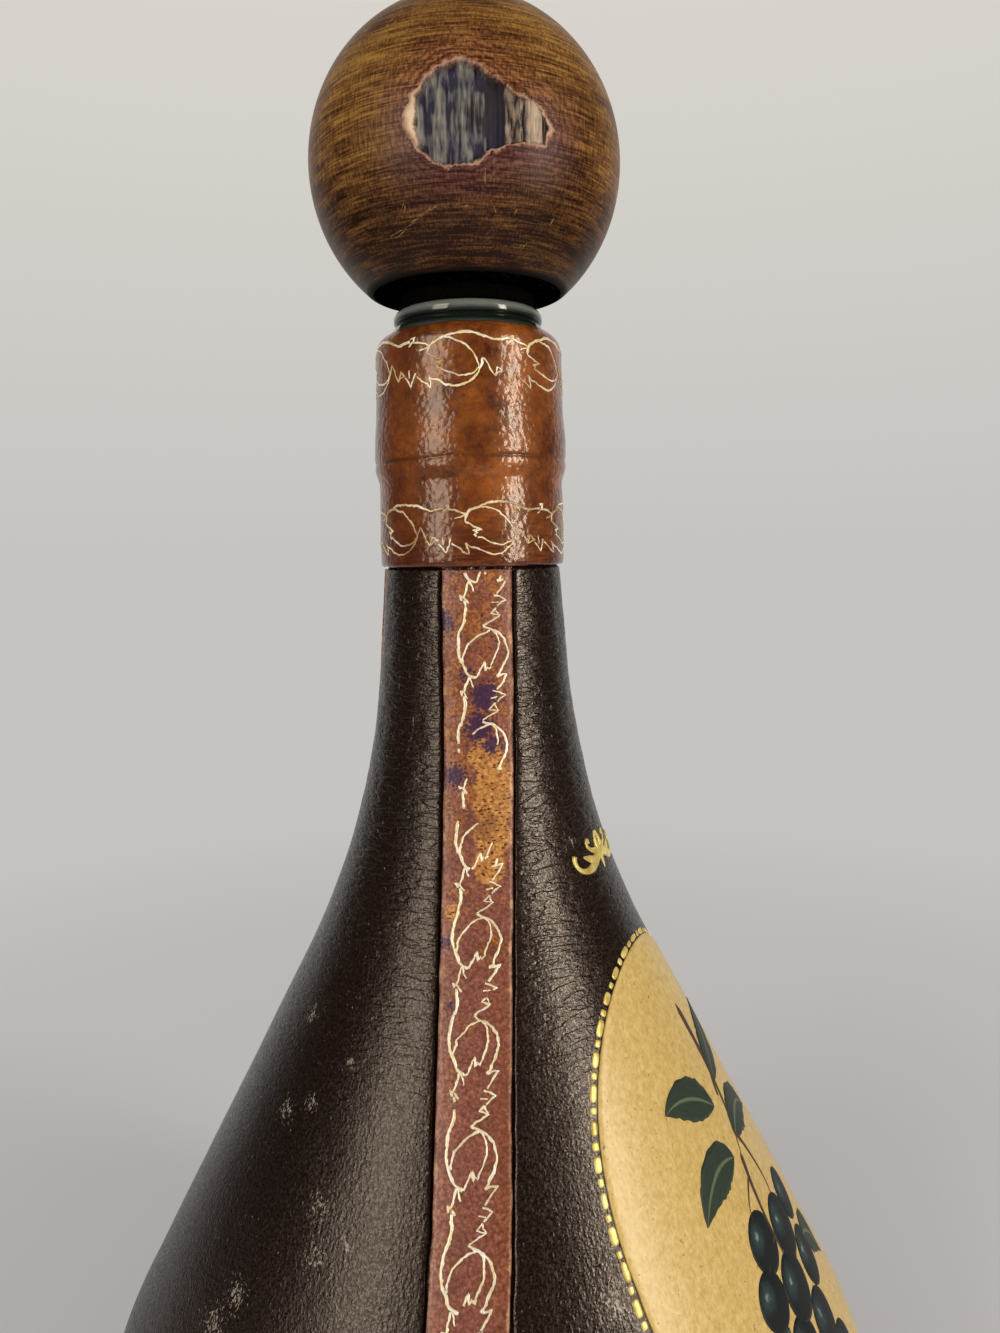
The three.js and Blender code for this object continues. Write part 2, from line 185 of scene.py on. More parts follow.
side = body_line()
collar_top = collar_high.z
ring_middle = collar_top - ring_drop
quarter = np.linspace(0.0, math.pi / 2, 9)
half = np.linspace(0.0, math.pi, 17)
inside = [(radius - glass_wall * out, height - glass_wall * up) for radius, height, out, up in side[1:]]
flare_low = collar_top - shoulder_drop
groove_height = lip_top - lip_height
bead_middle = groove_height + lip_round / 2
bottle_outline = [
    *rounding(0.0, foot_height, punt_radius, punt_depth, quarter),
    *[(radius, height) for radius, height, out, up in side[:0:-1]],
    *rounding(neck_radius, ring_middle, ring_proud, -ring_height / 2, half),
    *[(neck_radius + (groove_radius - neck_radius) * f ** flare_bend,
       flare_low + (groove_height - flare_low) * f) for f in np.linspace(0.0, 1.0, 7)],
    *rounding(groove_radius, bead_middle, lip_radius - groove_radius, -lip_round / 2, quarter[1:]),
    *rounding(lip_radius - lip_round, lip_top - lip_round, lip_round, lip_round, quarter[::-1]),
    (bore_radius + mouth_chamfer, lip_top),
    (bore_radius, lip_top - mouth_chamfer),
    (bore_radius, lip_top - bore_length),
    *inside[:-1],
    (foot_radius - glass_wall, foot_height + glass_wall),
    *rounding(0.0, foot_height + glass_wall, punt_radius, punt_depth, quarter[::-1]),
]

# Old soda-lime glass: smooth and glossy, grey-green, with a painted highlight on the upper half of the bead
# and painted shade on its lower half and the neck just under it, paler lower down, with smears that soften
# the gloss here and there.
bottle_glass, tree, shader = finish("smeared_grey_green_glass", {"IOR": 1.52, "Transmission Weight": 0.7})
place = add(tree, "TexCoord").outputs["Object"]
level = add(tree, "SeparateXYZ", Vector=place)
# Painted highlight on the upper half of the bead; painted shade on its lower half and the neck just under it
lit_bead_top = add(tree, "MapRange", level.outputs["Z"], groove_height + 0.4 * MM, groove_height + 1.3 * MM)
thin = add(tree, "MapRange", level.outputs["Z"], groove_height - 2.6 * MM, groove_height - 1.2 * MM, 1.0, 0.0)
deep = add(tree, "Mix", thin, "#2c3631", "#8b9790", data_type="RGBA")
tint = add(tree, "Mix", lit_bead_top, deep, "#b4beb7", data_type="RGBA")
feed(shader, {"Base Color": tint})
smear = add(tree, "TexNoise", Vector=place, Scale=1 / (6 * MM), Detail=3.0)
gloss = add(tree, "MapRange", smear, 0.35, 0.7, 0.03, 0.14)
feed(shader, {"Roughness": gloss})

bottle = piece("bottle", turned(bottle_outline), bottle_glass, sharp=math.radians(50))
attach(bottle, "bottle")
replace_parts(bottle, "glass_bottle")

# Leather panels
# Three pieces of dark brown grained hide, dampened, stretched over the glass and glued. They meet under the
# straps, where their edges are pared thin, go under the collar above and are turned in under the base.
leather_inside = 0.3 * MM
leather_thickness = 1.2 * MM
panel_lift = leather_inside + leather_thickness
skive = 0.6 * MM
skived_lift = panel_lift - skive
# Hollows left by the stretching, width and depth in mm, and folds near the neck that are drawn out
stretch_waves = [(24, 0.16), (7, 0.05)]
neck_waves = [(3.2, 0.1, (1.0, 1.0, 1.0)), (1.7, 0.1, (0.3, 0.3, 1.0))]
neck_reach = 90 * MM
under_collar_reach = 4 * MM
collar_step = 0.6 * MM
edge_wander = (9 * MM, 0.5 * MM)
seams_apart = 40 * MM
other_edge = 9.0
strap_angle = math.radians(67)
straps = {"left": (-strap_angle, 1.0), "right": (strap_angle, -1.0), "rear": (math.pi, 0.0)}
# Height in mm against how far a strap strays from its upright line, and its half width
strap_drift = [(5, -4.6), (60, -3.6), (100, -2.2), (130, -0.6), (167, 0.2), (203, 1.0), (239, 1.2)]
strap_half_width = [(5, 7.1), (60, 6.95), (100, 6.75), (130, 6.45), (167, 6.25), (203, 6.0), (239, 5.95)]

under_base = [(foot_radius, foot_height, 0.0, -1.0), (turn_in_radius, foot_height, 0.0, -1.0)]
skin_line = np.array([*side, *under_base])
skin_along = np.concatenate([[0.0], np.cumsum(np.hypot(*np.diff(skin_line[:, :2], axis=0).T))]) - collar_lap
heel_along = skin_along[len(side) - 1]


def body_radius(along):
    return np.interp(along, skin_along, skin_line[:, 0])


def polar(reach, azimuth, height):
    """A place or a direction by its reach from the axis, its angle from the front and its height."""
    return Vector((reach * math.sin(azimuth), -reach * math.cos(azimuth), height))


def on_body(along, azimuth, lift):
    """A point at a length down the side from the collar, an angle from the front and a lift off the glass."""
    radius, height, out, up = (np.interp(along, skin_along, column) for column in skin_line.T)
    return polar(radius + lift * out, azimuth, height + lift * up)


def outward(along, azimuth):
    out, up = (np.interp(along, skin_along, column) for column in skin_line.T[2:])
    return polar(out, azimuth, up).normalized()


def along_at(height):
    """The length down the side at which the glass has a height."""
    return np.interp(-height, -side[:, 1], skin_along[:len(side)])


def beside_strap(strap, along, share, beyond=0.0):
    """The angle from the front at a share of a strap's half width from its middle, and a length beyond."""
    angle, drift_side = straps[strap]
    radius, height = (np.interp(along, skin_along, column) for column in skin_line.T[:2])
    drift = np.interp(height / MM, *zip(*strap_drift)) * drift_side
    half_width = np.interp(height / MM, *zip(*strap_half_width))
    return angle + math.asin((drift + share * half_width) * MM / radius + beyond / radius)


def uneven(point, spread, depth):
    """A smooth rise and fall of a surface, with hollows about as wide as the spread."""
    return depth * noise.noise(point / spread)


def clamp(value):
    return min(1.0, max(0.0, value))


def panel_point(along, azimuth, lift=panel_lift):
    """A place on a panel, uneven as hide stretched by hand is, with finer folds towards the neck."""
    flat = on_body(along, azimuth, lift)
    rise = sum(uneven(flat, spread * MM, depth * MM) for spread, depth in stretch_waves)
    folds = sum(uneven(flat * Vector(stretch), spread * MM, depth * MM)
                for spread, depth, stretch in neck_waves)
    rise += folds * clamp(1.0 - along / neck_reach)
    return on_body(along, azimuth, lift + rise * clamp(along / under_collar_reach))


def lay(bm, columns, rows, place):
    """Adds a sheet of columns by rows, counted from the upper left, with each corner put in its place."""
    corners = bmesh.ops.create_grid(bm, x_segments=columns - 1, y_segments=rows - 1, size=1.0)["verts"]
    for corner in corners:
        column = round((corner.co.x + 1) / 2 * (columns - 1))
        row = round((1 - corner.co.y) / 2 * (rows - 1))
        corner.co = place(column, row)
    return corners


def thicken(sheet, thickness):
    """Gives a sheet its thickness, inwards from the surface that shows."""
    wall = sheet.modifiers.new("thickness", "SOLIDIFY")
    wall.thickness = thickness
    wall.offset = -1.0
    wall.use_even_offset = True
    return wall


def store(made, name, values):
    """Keeps a value for each corner of a piece, for its material to read."""
    made.data.attributes.new(name, "FLOAT", "POINT").data.foreach_set("value", values)


def mark(made, name, spots):
    """An attribute that is 1 at spots given as height, angle and radius, and fades round them."""
    count = len(made.data.vertices)
    corners = np.empty(count * 3)
    made.data.vertices.foreach_get("co", corners)
    corners = corners.reshape(-1, 3)
    strength = np.zeros(count)
    for height, azimuth, radius in spots:
        middle = on_body(along_at(height * MM), math.radians(azimuth), panel_lift)
        away = np.linalg.norm(corners - np.array(middle), axis=1)
        strength = np.maximum(strength, np.exp(-(away / (radius * MM)) ** 2))
    store(made, name, strength)


def leather_grain(tree, cell, depth, squeeze=(1.0, 1.0, 1.0), folds=2.6):
    """Pebbled grain with cells of a real size and wider folds: its height, its place and its bump."""
    place = add(tree, "TexCoord").outputs["Object"]
    shaped = add(tree, "Mapping", Vector=place, Scale=squeeze)
    bend = add(tree, "TexNoise", Vector=shaped, Scale=1 / (2.5 * cell), Detail=2.0)
    bent = add(tree, "VectorMath", bend.outputs["Color"], (1.1 * cell,) * 3, shaped, operation="MULTIPLY_ADD")
    pebble = add(tree, "TexVoronoi", Vector=bent, Scale=1 / cell, Smoothness=0.35, feature="SMOOTH_F1")
    pores = add(tree, "TexNoise", Vector=bent, Scale=3 / cell, Detail=3.0)
    height = add(tree, "Math", pores, 0.3, pebble, operation="MULTIPLY_ADD")
    fold = add(tree, "TexNoise", Vector=place, Scale=1 / (7 * cell), Detail=3.0)
    relief = add(tree, "Math", fold, folds, height, operation="MULTIPLY_ADD")
    bump = add(tree, "Bump", Height=relief, Strength=1.0, Distance=depth, invert=True)
    return height, place, bump


# Aniline-dyed goatskin, waxed: nearly black brown, a fine pebbled grain that lies round the body,
# semi-gloss on the tops of the grain, with hairline scuffs where the dye has rubbed off.
dark_leather, tree, shader = finish("waxed_dark_goatskin", {
    "IOR": 1.5, "Specular IOR Level": 0.62, "Specular Tint": "#fff4ea"})
height, place, bump = leather_grain(tree, 0.62 * MM, 0.045 * MM, (1.0, 1.0, 1.5), 1.5)
pulled = add(tree, "Mapping", Vector=place, Scale=(1.0, 1.0, 0.14))
draw = add(tree, "TexNoise", Vector=pulled, Scale=1 / (0.6 * MM), Detail=2.0)
wrinkled = add(tree, "Mapping", Vector=place, Rotation=(0.25, 0.1, 0.0), Scale=(0.22, 0.22, 1.0))
wrinkle = add(tree, "TexNoise", Vector=wrinkled, Scale=1 / (1.4 * MM), Detail=2.0)
off_line = add(tree, "Math", wrinkle, 0.5, operation="SUBTRACT")
beside_line = add(tree, "Math", off_line, operation="ABSOLUTE")
crease = add(tree, "MapRange", beside_line, 0.0, 0.11, 0.0, 0.75, interpolation_type="SMOOTHSTEP")
level = add(tree, "SeparateXYZ", Vector=place)
upper = add(tree, "MapRange", level.outputs["Z"], 120 * MM, 185 * MM)
pulls = add(tree, "Mix", upper, draw, crease)
bump = add(tree, "Bump", Height=pulls, Strength=1.0, Distance=0.12 * MM, Normal=bump)
cloud = add(tree, "TexNoise", Vector=place, Scale=1 / (28 * MM), Detail=4.0)
dyed = add(tree, "Mix", cloud, "#0f0502", "#1f0c04", data_type="RGBA")
scuffed = add(tree, "Attribute", attribute_name="scuff")
scratches = []
for tilt in (0.16, -0.3):
    drawn = add(tree, "Mapping", Vector=place, Rotation=(tilt, tilt, 0.0), Scale=(1.0, 1.0, 0.07))
    hair = add(tree, "TexNoise", Vector=drawn, Scale=1 / (0.36 * MM), Detail=1.5)
    scratches.append(hair)
hair = add(tree, "Math", scratches[0], scratches[1], operation="MAXIMUM")
torn = add(tree, "Math", scuffed, 0.2, hair, operation="MULTIPLY_ADD")
raised = add(tree, "Math", height, -0.06, torn, operation="MULTIPLY_ADD")
bare = add(tree, "MapRange", raised, 0.7, 0.77, 0.0, 0.85)
shade = add(tree, "Mix", bare, dyed, "#a39a8c", data_type="RGBA")
porous = add(tree, "Mapping", Vector=place, Scale=(1.0, 1.0, 0.5))
pore = add(tree, "TexNoise", Vector=porous, Scale=1 / (0.34 * MM), Detail=3.0, Roughness=0.7)
matt = add(tree, "Math", height, 0.35, pore, operation="MULTIPLY_ADD")
gloss = add(tree, "MapRange", matt, 0.5, 0.9, 0.12, 0.46)
feed(shader, {"Base Color": shade, "Roughness": gloss, "Normal": bump})

# Across a pared edge: share of the strap's half width, length beyond it and thickness, in mm
panel_edge = [(0.0, 0.15, 0.6), (0.5, 0.0, 0.6), (1.0, 0.0, 0.6), (1.0, 0.3, 0.62), (1.0, 0.36, 0.95),
              (1.0, 0.52, 1.12), (1.0, 0.9, 1.19), (1.0, 1.6, 1.2)]
panel_rows = [-9.0, -4.0, -0.6, -0.3, 0.0, 0.3, 0.7, 1.4, *np.arange(2.4, 60.0, 0.7),
              *np.arange(60.4, heel_along / MM, 1.4), heel_along / MM,
              *np.linspace(heel_along, skin_along[-1], 6)[1:] / MM]
# Height, angle from the front in degrees and radius of each scuff
scuffs = [(154, -122, 2.2), (142, -109, 2.0), (129, -99, 2.6), (123, -97, 2.4), (112, -112, 3.0),
          (106, -115, 3.2), (126, -91, 1.6), (139, -117, 2.4), (101, -104, 2.6), (95, -107, 3.0),
          (91, -112, 4.0), (150, -101, 1.4), (186, -20, 1.3), (118, -44, 3.0), (108, -52, 3.6),
          (104, -46, 3.0), (97, 38, 3.5), (120, 52, 2.4), (75, 96, 4.0), (132, 128, 2.4), (58, 152, 5.0),
          (84, -140, 3.4), (165, 118, 1.6)]


def cut_wander(along, seam):
    """How far the cut edge beside a strap strays outwards from its line, as an angle."""
    return abs(uneven(Vector((along, seams_apart * seam, 0.0)), *edge_wander)) / body_radius(along)


def panel_sheet(name, start, end, columns):
    """One panel from the seam under one strap to the seam under the next, its edges pared as listed."""
    turn = 0.0 if straps[start][0] < straps[end][0] else -math.tau
    edge_count = len(panel_edge)
    middle_count = columns - 2 * edge_count
    pared = []

    def place(column, row):
        along = panel_rows[row] * MM
        right = columns - 1 - column
        over, beyond = panel_edge[min(column, edge_count - 1)][:2]
        from_start = beside_strap(start, along, over, beyond * MM) + turn
        over, beyond = panel_edge[min(right, edge_count - 1)][:2]
        from_end = beside_strap(end, along, -over, -beyond * MM)
        if 0 < column < columns - 1:
            from_start += cut_wander(along, straps[start][0])
            from_end -= cut_wander(along, straps[end][0] + other_edge)
        share = clamp((column - edge_count + 1) / (middle_count + 1))
        body = panel_edge[min(column, right, edge_count - 1)][2] / panel_edge[-1][2]
        body = min(body, 0.5 + 0.5 * clamp(along / collar_step + 0.5))
        pared.append(body)
        lift = leather_inside + body * leather_thickness
        return panel_point(along, from_start * (1 - share) + from_end * share, lift)

    bm = bmesh.new()
    lay(bm, columns, len(panel_rows), place)
    sheet = piece(name, bm, dark_leather)
    body_group = sheet.vertex_groups.new(name="full_thickness")
    for corner, body in enumerate(pared):
        body_group.add([corner], body, "REPLACE")
    wall = thicken(sheet, leather_thickness)
    wall.vertex_group = body_group.name
    mark(sheet, "scuff", scuffs)
    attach(sheet, "bottle")
    return sheet


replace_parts(panel_sheet("panel_front", "left", "right", 130), "front_panel")
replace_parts(panel_sheet("panel_right_rear", "right", "rear", 112), "right_rear_panel")
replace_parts(panel_sheet("panel_left_rear", "rear", "left", 112), "left_rear_panel")

# Straps
# Strips of reddish tan calf glued over the seams of the panels, from the collar down to the foot, with
# their edges pared round. Hands wore them bare in patches, the left one most, and ink stained them.
strap_thickness = 0.9 * MM
strap_glue = 0.3 * MM
strap_lift = skived_lift + strap_glue + strap_thickness
# How far in from the cut edge, and how far the rounded face lies down there, in mm
strap_edge = [(0.0, 0.75), (0.06, 0.4), (0.18, 0.16), (0.4, 0.05), (0.8, 0.0)]
strap_columns = [*[(-1.0, inset) for inset, drop in strap_edge],
                 *[(share, 0.0) for share in np.linspace(-0.8, 0.8, 15)],
                 *[(1.0, -inset) for inset, drop in reversed(strap_edge)]]
strap_waves = [(9, 0.05), (26, 0.06)]
cut_wave = (6 * MM, 0.22 * MM)
widest_half = strap_half_width[0][1]
chafe_start = 0.3
chafe_reach = 2.8
inner_gap = 0.1
strap_rows = [0.25, 0.5, 1.0, *np.arange(1.9, heel_along / MM, 1.1), heel_along / MM]

# Vegetable-tanned calf: tan under a mauve-brown dye that has flaked off in patches, most of all near the
# neck; bare sand-coloured hide with dark pits on the worn patch; stains made of dark violet dots. Low down,
# a painted highlight pales each strap's left side and painted shade darkens its right side; painted shade
# also darkens the valleys between the pebbles.
strap_leather, tree, shader = finish("flaked_tan_calf", {"IOR": 1.5, "Specular IOR Level": 0.45})
height, place, bump = leather_grain(tree, 0.55 * MM, 0.05 * MM)
cloud = add(tree, "TexNoise", Vector=place, Scale=1 / (5 * MM), Detail=4.0, Roughness=0.6)
fine = add(tree, "TexNoise", Vector=place, Scale=1 / (0.7 * MM), Detail=4.0, Roughness=0.7)
tone = add(tree, "MapRange", fine, 0.34, 0.66)
tan = add(tree, "Mix", tone, "#703917", "#bb7b42", data_type="RGBA")
dye = add(tree, "Mix", tone, "#6c382e", "#a06857", data_type="RGBA")
level = add(tree, "SeparateXYZ", Vector=place)
across = add(tree, "Attribute", attribute_name="across")
lower = add(tree, "MapRange", level.outputs["Z"], 150 * MM, 175 * MM, 1.0, 0.25)
# Low down, a painted highlight pales the left side of each strap and painted shade darkens its right side
on_left = add(tree, "MapRange", across, -0.95, -0.3, 0.6, 0.0, interpolation_type="SMOOTHSTEP")
on_right = add(tree, "MapRange", across, 0.25, 0.9, 0.0, 0.6, interpolation_type="SMOOTHSTEP")
left_share = add(tree, "Math", on_left, lower, operation="MULTIPLY")
right_share = add(tree, "Math", on_right, lower, operation="MULTIPLY")
painted_lit_left_tone = add(tree, "Mix", tone, "#8f5c4a", "#c4927a", data_type="RGBA")
painted_shaded_right_tone = add(tree, "Mix", tone, "#6a3519", "#9c5f36", data_type="RGBA")
dye = add(tree, "Mix", left_share, dye, painted_lit_left_tone, data_type="RGBA")
dye = add(tree, "Mix", right_share, dye, painted_shaded_right_tone, data_type="RGBA")
flaking = add(tree, "MapRange", level.outputs["Z"], 150 * MM, 205 * MM, -0.13, 0.02)
flake = add(tree, "TexNoise", Vector=place, Scale=1 / (3.2 * MM), Detail=8.0, Roughness=0.72)
flaked = add(tree, "Math", flake, flaking, operation="ADD")
broken = add(tree, "Math", height, -0.12, flaked, operation="MULTIPLY_ADD")
open_share = add(tree, "MapRange", broken, 0.42, 0.47)
dyed = add(tree, "Mix", open_share, dye, tan, data_type="RGBA")
worn = add(tree, "Attribute", attribute_name="worn")
patchy = add(tree, "Math", flake, 0.55, worn, operation="MULTIPLY_ADD")
bare = add(tree, "MapRange", patchy, 0.76, 0.84)
sand = add(tree, "Mix", tone, "#a5682f", "#d6a05a", data_type="RGBA")
rubbed = add(tree, "Mix", bare, dyed, sand, data_type="RGBA")
wide = add(tree, "Mapping", Vector=place, Rotation=(0.2, 0.2, 0.0), Scale=(0.42, 0.42, 1.0))
pits = add(tree, "TexVoronoi", Vector=wide, Scale=1 / (0.56 * MM), Randomness=0.85)
pit = add(tree, "MapRange", pits, 0.22, 0.33, 1.0, 0.0)
chance = add(tree, "SeparateColor", pits.outputs["Color"])
rare = add(tree, "MapRange", chance, 0.7, 0.75)
upper = add(tree, "MapRange", level.outputs["Z"], 150 * MM, 200 * MM, 0.25, 1.0)
sparse = add(tree, "Math", rare, upper, operation="MULTIPLY")
share = add(tree, "Math", bare, sparse, operation="MAXIMUM")
speckled = add(tree, "Math", pit, share, operation="MULTIPLY")
# Painted shade in the valleys between the pebbles
between = add(tree, "MapRange", height, 0.5, 0.85, 0.0, 0.45)
creased = add(tree, "Mix", between, rubbed, "#4a2012", data_type="RGBA")
smoky = add(tree, "MapRange", cloud, 0.5, 0.66, 0.0, 0.5)
smoked = add(tree, "Mix", smoky, creased, "#54281a", data_type="RGBA")
pitted = add(tree, "Mix", speckled, smoked, "#53280f", data_type="RGBA")
edge = add(tree, "Attribute", attribute_name="edge")
chafe = add(tree, "Math", edge, flake, operation="MULTIPLY")
chafed = add(tree, "MapRange", chafe, 0.47, 0.6, 0.0, 0.75)
edged = add(tree, "Mix", chafed, pitted, "#c79a76", data_type="RGBA")
blot = add(tree, "Attribute", attribute_name="stain")
drops = add(tree, "TexVoronoi", Vector=place, Scale=1 / (0.62 * MM))
soaked = add(tree, "Math", drops, -0.9, blot, operation="MULTIPLY_ADD")
spattered = add(tree, "Math", flake, 0.9, soaked, operation="MULTIPLY_ADD")
stained = add(tree, "MapRange", spattered, 0.42, 0.66, 0.0, 0.9)
shade = add(tree, "Mix", stained, edged, "#321d44", data_type="RGBA")
gloss = add(tree, "MapRange", cloud, 0.0, 1.0, 0.2, 0.52)
feed(shader, {"Base Color": shade, "Roughness": gloss, "Normal": bump})

# Height, angle from the front in degrees and radius, as for the scuffs
worn_spots = [(204, -61, 4.0), (199, -57, 4.5), (194, -58, 4.5), (189, -59, 4.5), (184, -61, 4.0),
              (176, -75, 2.0), (60, -63, 6.0), (150, 62, 6.0), (96, 70, 5.0), (205, 180, 6.0),
              (70, 178, 8.0)]
stain_spots = [(215, -60, 3.2), (209, -63, 3.4), (206, -57, 2.4), (200, -76, 2.6), (229, -83, 2.6),
               (219, -69, 1.8), (161, -74, 1.2), (171, -77, 1.5), (130, 71, 2.4), (180, 184, 2.6),
               (48, 176, 3.0)]


def strap_point(along, azimuth, drop=0.0):
    """A place on a strap, a little uneven, or at a depth below its surface."""
    flat = on_body(along, azimuth, strap_lift)
    rise = sum(uneven(flat, spread * MM, depth * MM) for spread, depth in strap_waves)
    return on_body(along, azimuth, strap_lift + rise - drop)


def strap_strip(name, strap):
    """One strap from the collar to the foot, each corner told how near the edge and how far across it is."""
    edge_count = len(strap_edge)
    chafed = []
    sides = []

    def place(column, row):
        from_edge = min(column, len(strap_columns) - 1 - column)
        drop = strap_edge[min(from_edge, edge_count - 1)][1] * MM
        along = strap_rows[row] * MM
        wave = uneven(Vector((along, column // edge_count, straps[strap][0])), *cut_wave)
        share, beyond = strap_columns[column]
        from_side = abs(beyond) + (1 - abs(share)) * widest_half
        chafed.append(max(0.0, 1.0 - max(0.0, from_side - chafe_start) / chafe_reach))
        sides.append(share + beyond / widest_half)
        return strap_point(along, beside_strap(strap, along, share, beyond * MM + wave), drop)

    bm = bmesh.new()
    lay(bm, len(strap_columns), len(strap_rows), place)
    strip = piece(name, bm, strap_leather)
    thicken(strip, strap_thickness * (1 - inner_gap))
    mark(strip, "worn", worn_spots)
    mark(strip, "stain", stain_spots)
    store(strip, "edge", chafed)
    store(strip, "across", sides)
    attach(strip, "bottle")
    return strip


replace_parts(strap_strip("strap_left", "left"), "left_strap")
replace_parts(strap_strip("strap_right", "right"), "right_strap")
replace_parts(strap_strip("strap_rear", "rear"), "rear_strap")

# Neck collar
# A band of glossy chestnut leather wrapped round the neck, pressed over the moulded ring and lapping the
# upper ends of the panels, with a hand-cut upper edge. Its two ends butt in a seam down the back.
collar_bottom = collar_low.z
collar_thickness = 0.9 * MM
collar_seam = 0.4 * MM
# Height above the lower edge and radius of the collar's face, in mm
collar_outline = [(0.0, 17.75), (0.05, 18.1), (0.3, 18.3), (0.9, 18.4), (6.0, 18.42), (12.0, 18.38),
                  (15.2, 18.25), (16.4, 18.28), (17.4, 18.6), (18.4, 18.9), (19.1, 18.96), (19.7, 18.93),
                  (20.2, 18.8), (20.7, 18.94), (21.3, 19.02), (24.0, 19.0), (26.0, 18.88), (29.0, 18.6),
                  (34.0, 18.42), (40.0, 18.32), (41.8, 18.2), (42.8, 17.9), (43.6, 17.4), (44.2, 16.75),
                  (44.5, 16.35)]
collar_heights, collar_radii = np.array(collar_outline).T * MM
collar_crease = 20.2 * MM
crease_width = 0.45 * MM
crease_reach = 3 * MM
collar_waves = [(8, 0.09), (3, 0.035)]
top_zone = 0.2
top_wander = (7 * MM, 0.55 * MM)
bottom_zone = 0.08
bottom_wander = (5 * MM, 0.22 * MM)
crease_wander = (6 * MM, 0.7 * MM)
collar_rows = sorted([*collar_heights[:4], *np.linspace(1.6 * MM, 41.4 * MM, 74), *collar_heights[-5:],
                      *(collar_crease + np.array([-0.6, -0.3, -0.15, 0.0, 0.15, 0.3, 0.6]) * MM)])
collar_columns = 260


def collar_radius(height, azimuth):
    """The collar's radius at a height above its lower edge, with the unevenness of hide pulled by hand."""
    round_place = Vector((math.sin(azimuth), math.cos(azimuth), height / neck_radius)) * neck_radius
    rise = sum(uneven(round_place, spread * MM, depth * MM) for spread, depth in collar_waves)
    return np.interp(height, collar_heights, collar_radii) + rise


def collar_point(height, azimuth):
    """A place on the collar; the cut edges wander up and down, more at the top than at the bottom."""
    radius = collar_radius(height, azimuth)
    round_place = Vector((math.sin(azimuth), math.cos(azimuth), 0.0)) * neck_radius
    top_share = max(0.0, height / collar_heights[-1] - 1 + top_zone) / top_zone
    bottom_share = max(0.0, bottom_zone - height / collar_heights[-1]) / bottom_zone
    crease_share = math.exp(-((height - collar_crease) / crease_reach) ** 2)
    wander = uneven(round_place, *top_wander) * top_share ** 2
    wander += uneven(round_place, *bottom_wander) * bottom_share
    wander += uneven(round_place, *crease_wander) * crease_share
    return polar(radius, azimuth, collar_bottom + height + wander)


def collar_place(column, row):
    end = math.pi - collar_seam / 2 / neck_radius
    return collar_point(collar_rows[-1 - row], -end + 2 * end * column / (collar_columns - 1))


# Glazed chestnut goatskin: an even pebbled grain under a clear glaze, so each pebble catches the light,
# with the dye darker in patches, painted shade between the pebbles and over the back, darker towards the
# lower edge with dark wrinkle lines there, and painted shade and dirt along the crease.
collar_leather, tree, shader = finish("glazed_chestnut_goatskin", {
    "IOR": 1.5, "Specular IOR Level": 0.42, "Specular Tint": "#ffe6cc", "Coat Weight": 0.72,
    "Coat Roughness": 0.08, "Coat IOR": 1.5})
height, place, bump = leather_grain(tree, 1.15 * MM, 0.06 * MM)
cloud = add(tree, "TexNoise", Vector=place, Scale=1 / (10 * MM), Detail=7.0, Roughness=0.7)
mottle = add(tree, "MapRange", cloud, 0.36, 0.62)
dyed = add(tree, "Mix", mottle, "#431807", "#94531e", data_type="RGBA")
# Painted shade in the valleys between the pebbles
between = add(tree, "MapRange", height, 0.55, 1.0, 0.0, 0.4)
creased = add(tree, "Mix", between, dyed, "#451806", data_type="RGBA")
dust = add(tree, "TexNoise", Vector=place, Scale=1 / (0.6 * MM), Detail=2.0)
dot = add(tree, "MapRange", dust, 0.64, 0.72, 0.0, 0.7)
dotted = add(tree, "Mix", dot, creased, "#341305", data_type="RGBA")
level = add(tree, "SeparateXYZ", Vector=place)
# Darker towards the lower edge, with dark wrinkle lines there
toward_lower_edge = add(tree, "MapRange", level.outputs["Z"], collar_bottom, collar_bottom + 18 * MM, 0.7, 0.0,
              interpolation_type="SMOOTHSTEP")
strained = add(tree, "Mapping", Vector=place, Scale=(0.16, 0.16, 1.0))
wrinkle = add(tree, "TexNoise", Vector=strained, Scale=1 / (0.5 * MM), Detail=2.0)
lined = add(tree, "MapRange", wrinkle, 0.4, 0.6, 0.55, 1.3)
worked = add(tree, "Math", toward_lower_edge, lined, operation="MULTIPLY", use_clamp=True)
browned = add(tree, "Mix", worked, dotted, "#43150a", data_type="RGBA")
# Painted shade over the back of the collar, away from the front
rear = add(tree, "MapRange", level.outputs["Y"], -6 * MM, 14 * MM, 0.0, 0.6, interpolation_type="SMOOTHSTEP")
with_painted_back_shade = add(tree, "Mix", rear, browned, "#4f1d0b", data_type="RGBA")
# Painted shade and dirt along the crease, in patches
crease = add(tree, "Attribute", attribute_name="crease")
patch = add(tree, "MapRange", cloud, 0.4, 0.6, 0.0, 0.75)
crease_dirt_and_shade = add(tree, "Math", crease, patch, operation="MULTIPLY")
shade = add(tree, "Mix", crease_dirt_and_shade, with_painted_back_shade, "#2c1006", data_type="RGBA")
gloss = add(tree, "MapRange", height, 0.2, 1.0, 0.24, 0.42)
glaze = add(tree, "Bump", Height=height, Strength=1.0, Distance=0.12 * MM, invert=True)
feed(shader, {"Base Color": shade, "Roughness": gloss, "Normal": bump, "Coat Normal": glaze})

bm = bmesh.new()
lay(bm, collar_columns, len(collar_rows), collar_place)
collar = piece("collar", bm, collar_leather)
creased = [math.exp(-((height - collar_crease) / crease_width) ** 2) for height in collar_rows
           for column in range(collar_columns)]
store(collar, "crease", creased)
thicken(collar, collar_thickness)
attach(collar, "bottle")
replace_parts(collar, "neck_collar")

# Gold borders of the straps and the collar
# Gold foil pressed into the leather with a heated wheel, so one leaf-and-arrow pattern repeats down each
# strap and twice round the collar. The foil is rubbed away in places, most of all on the worn patch.
repeat = 17.8
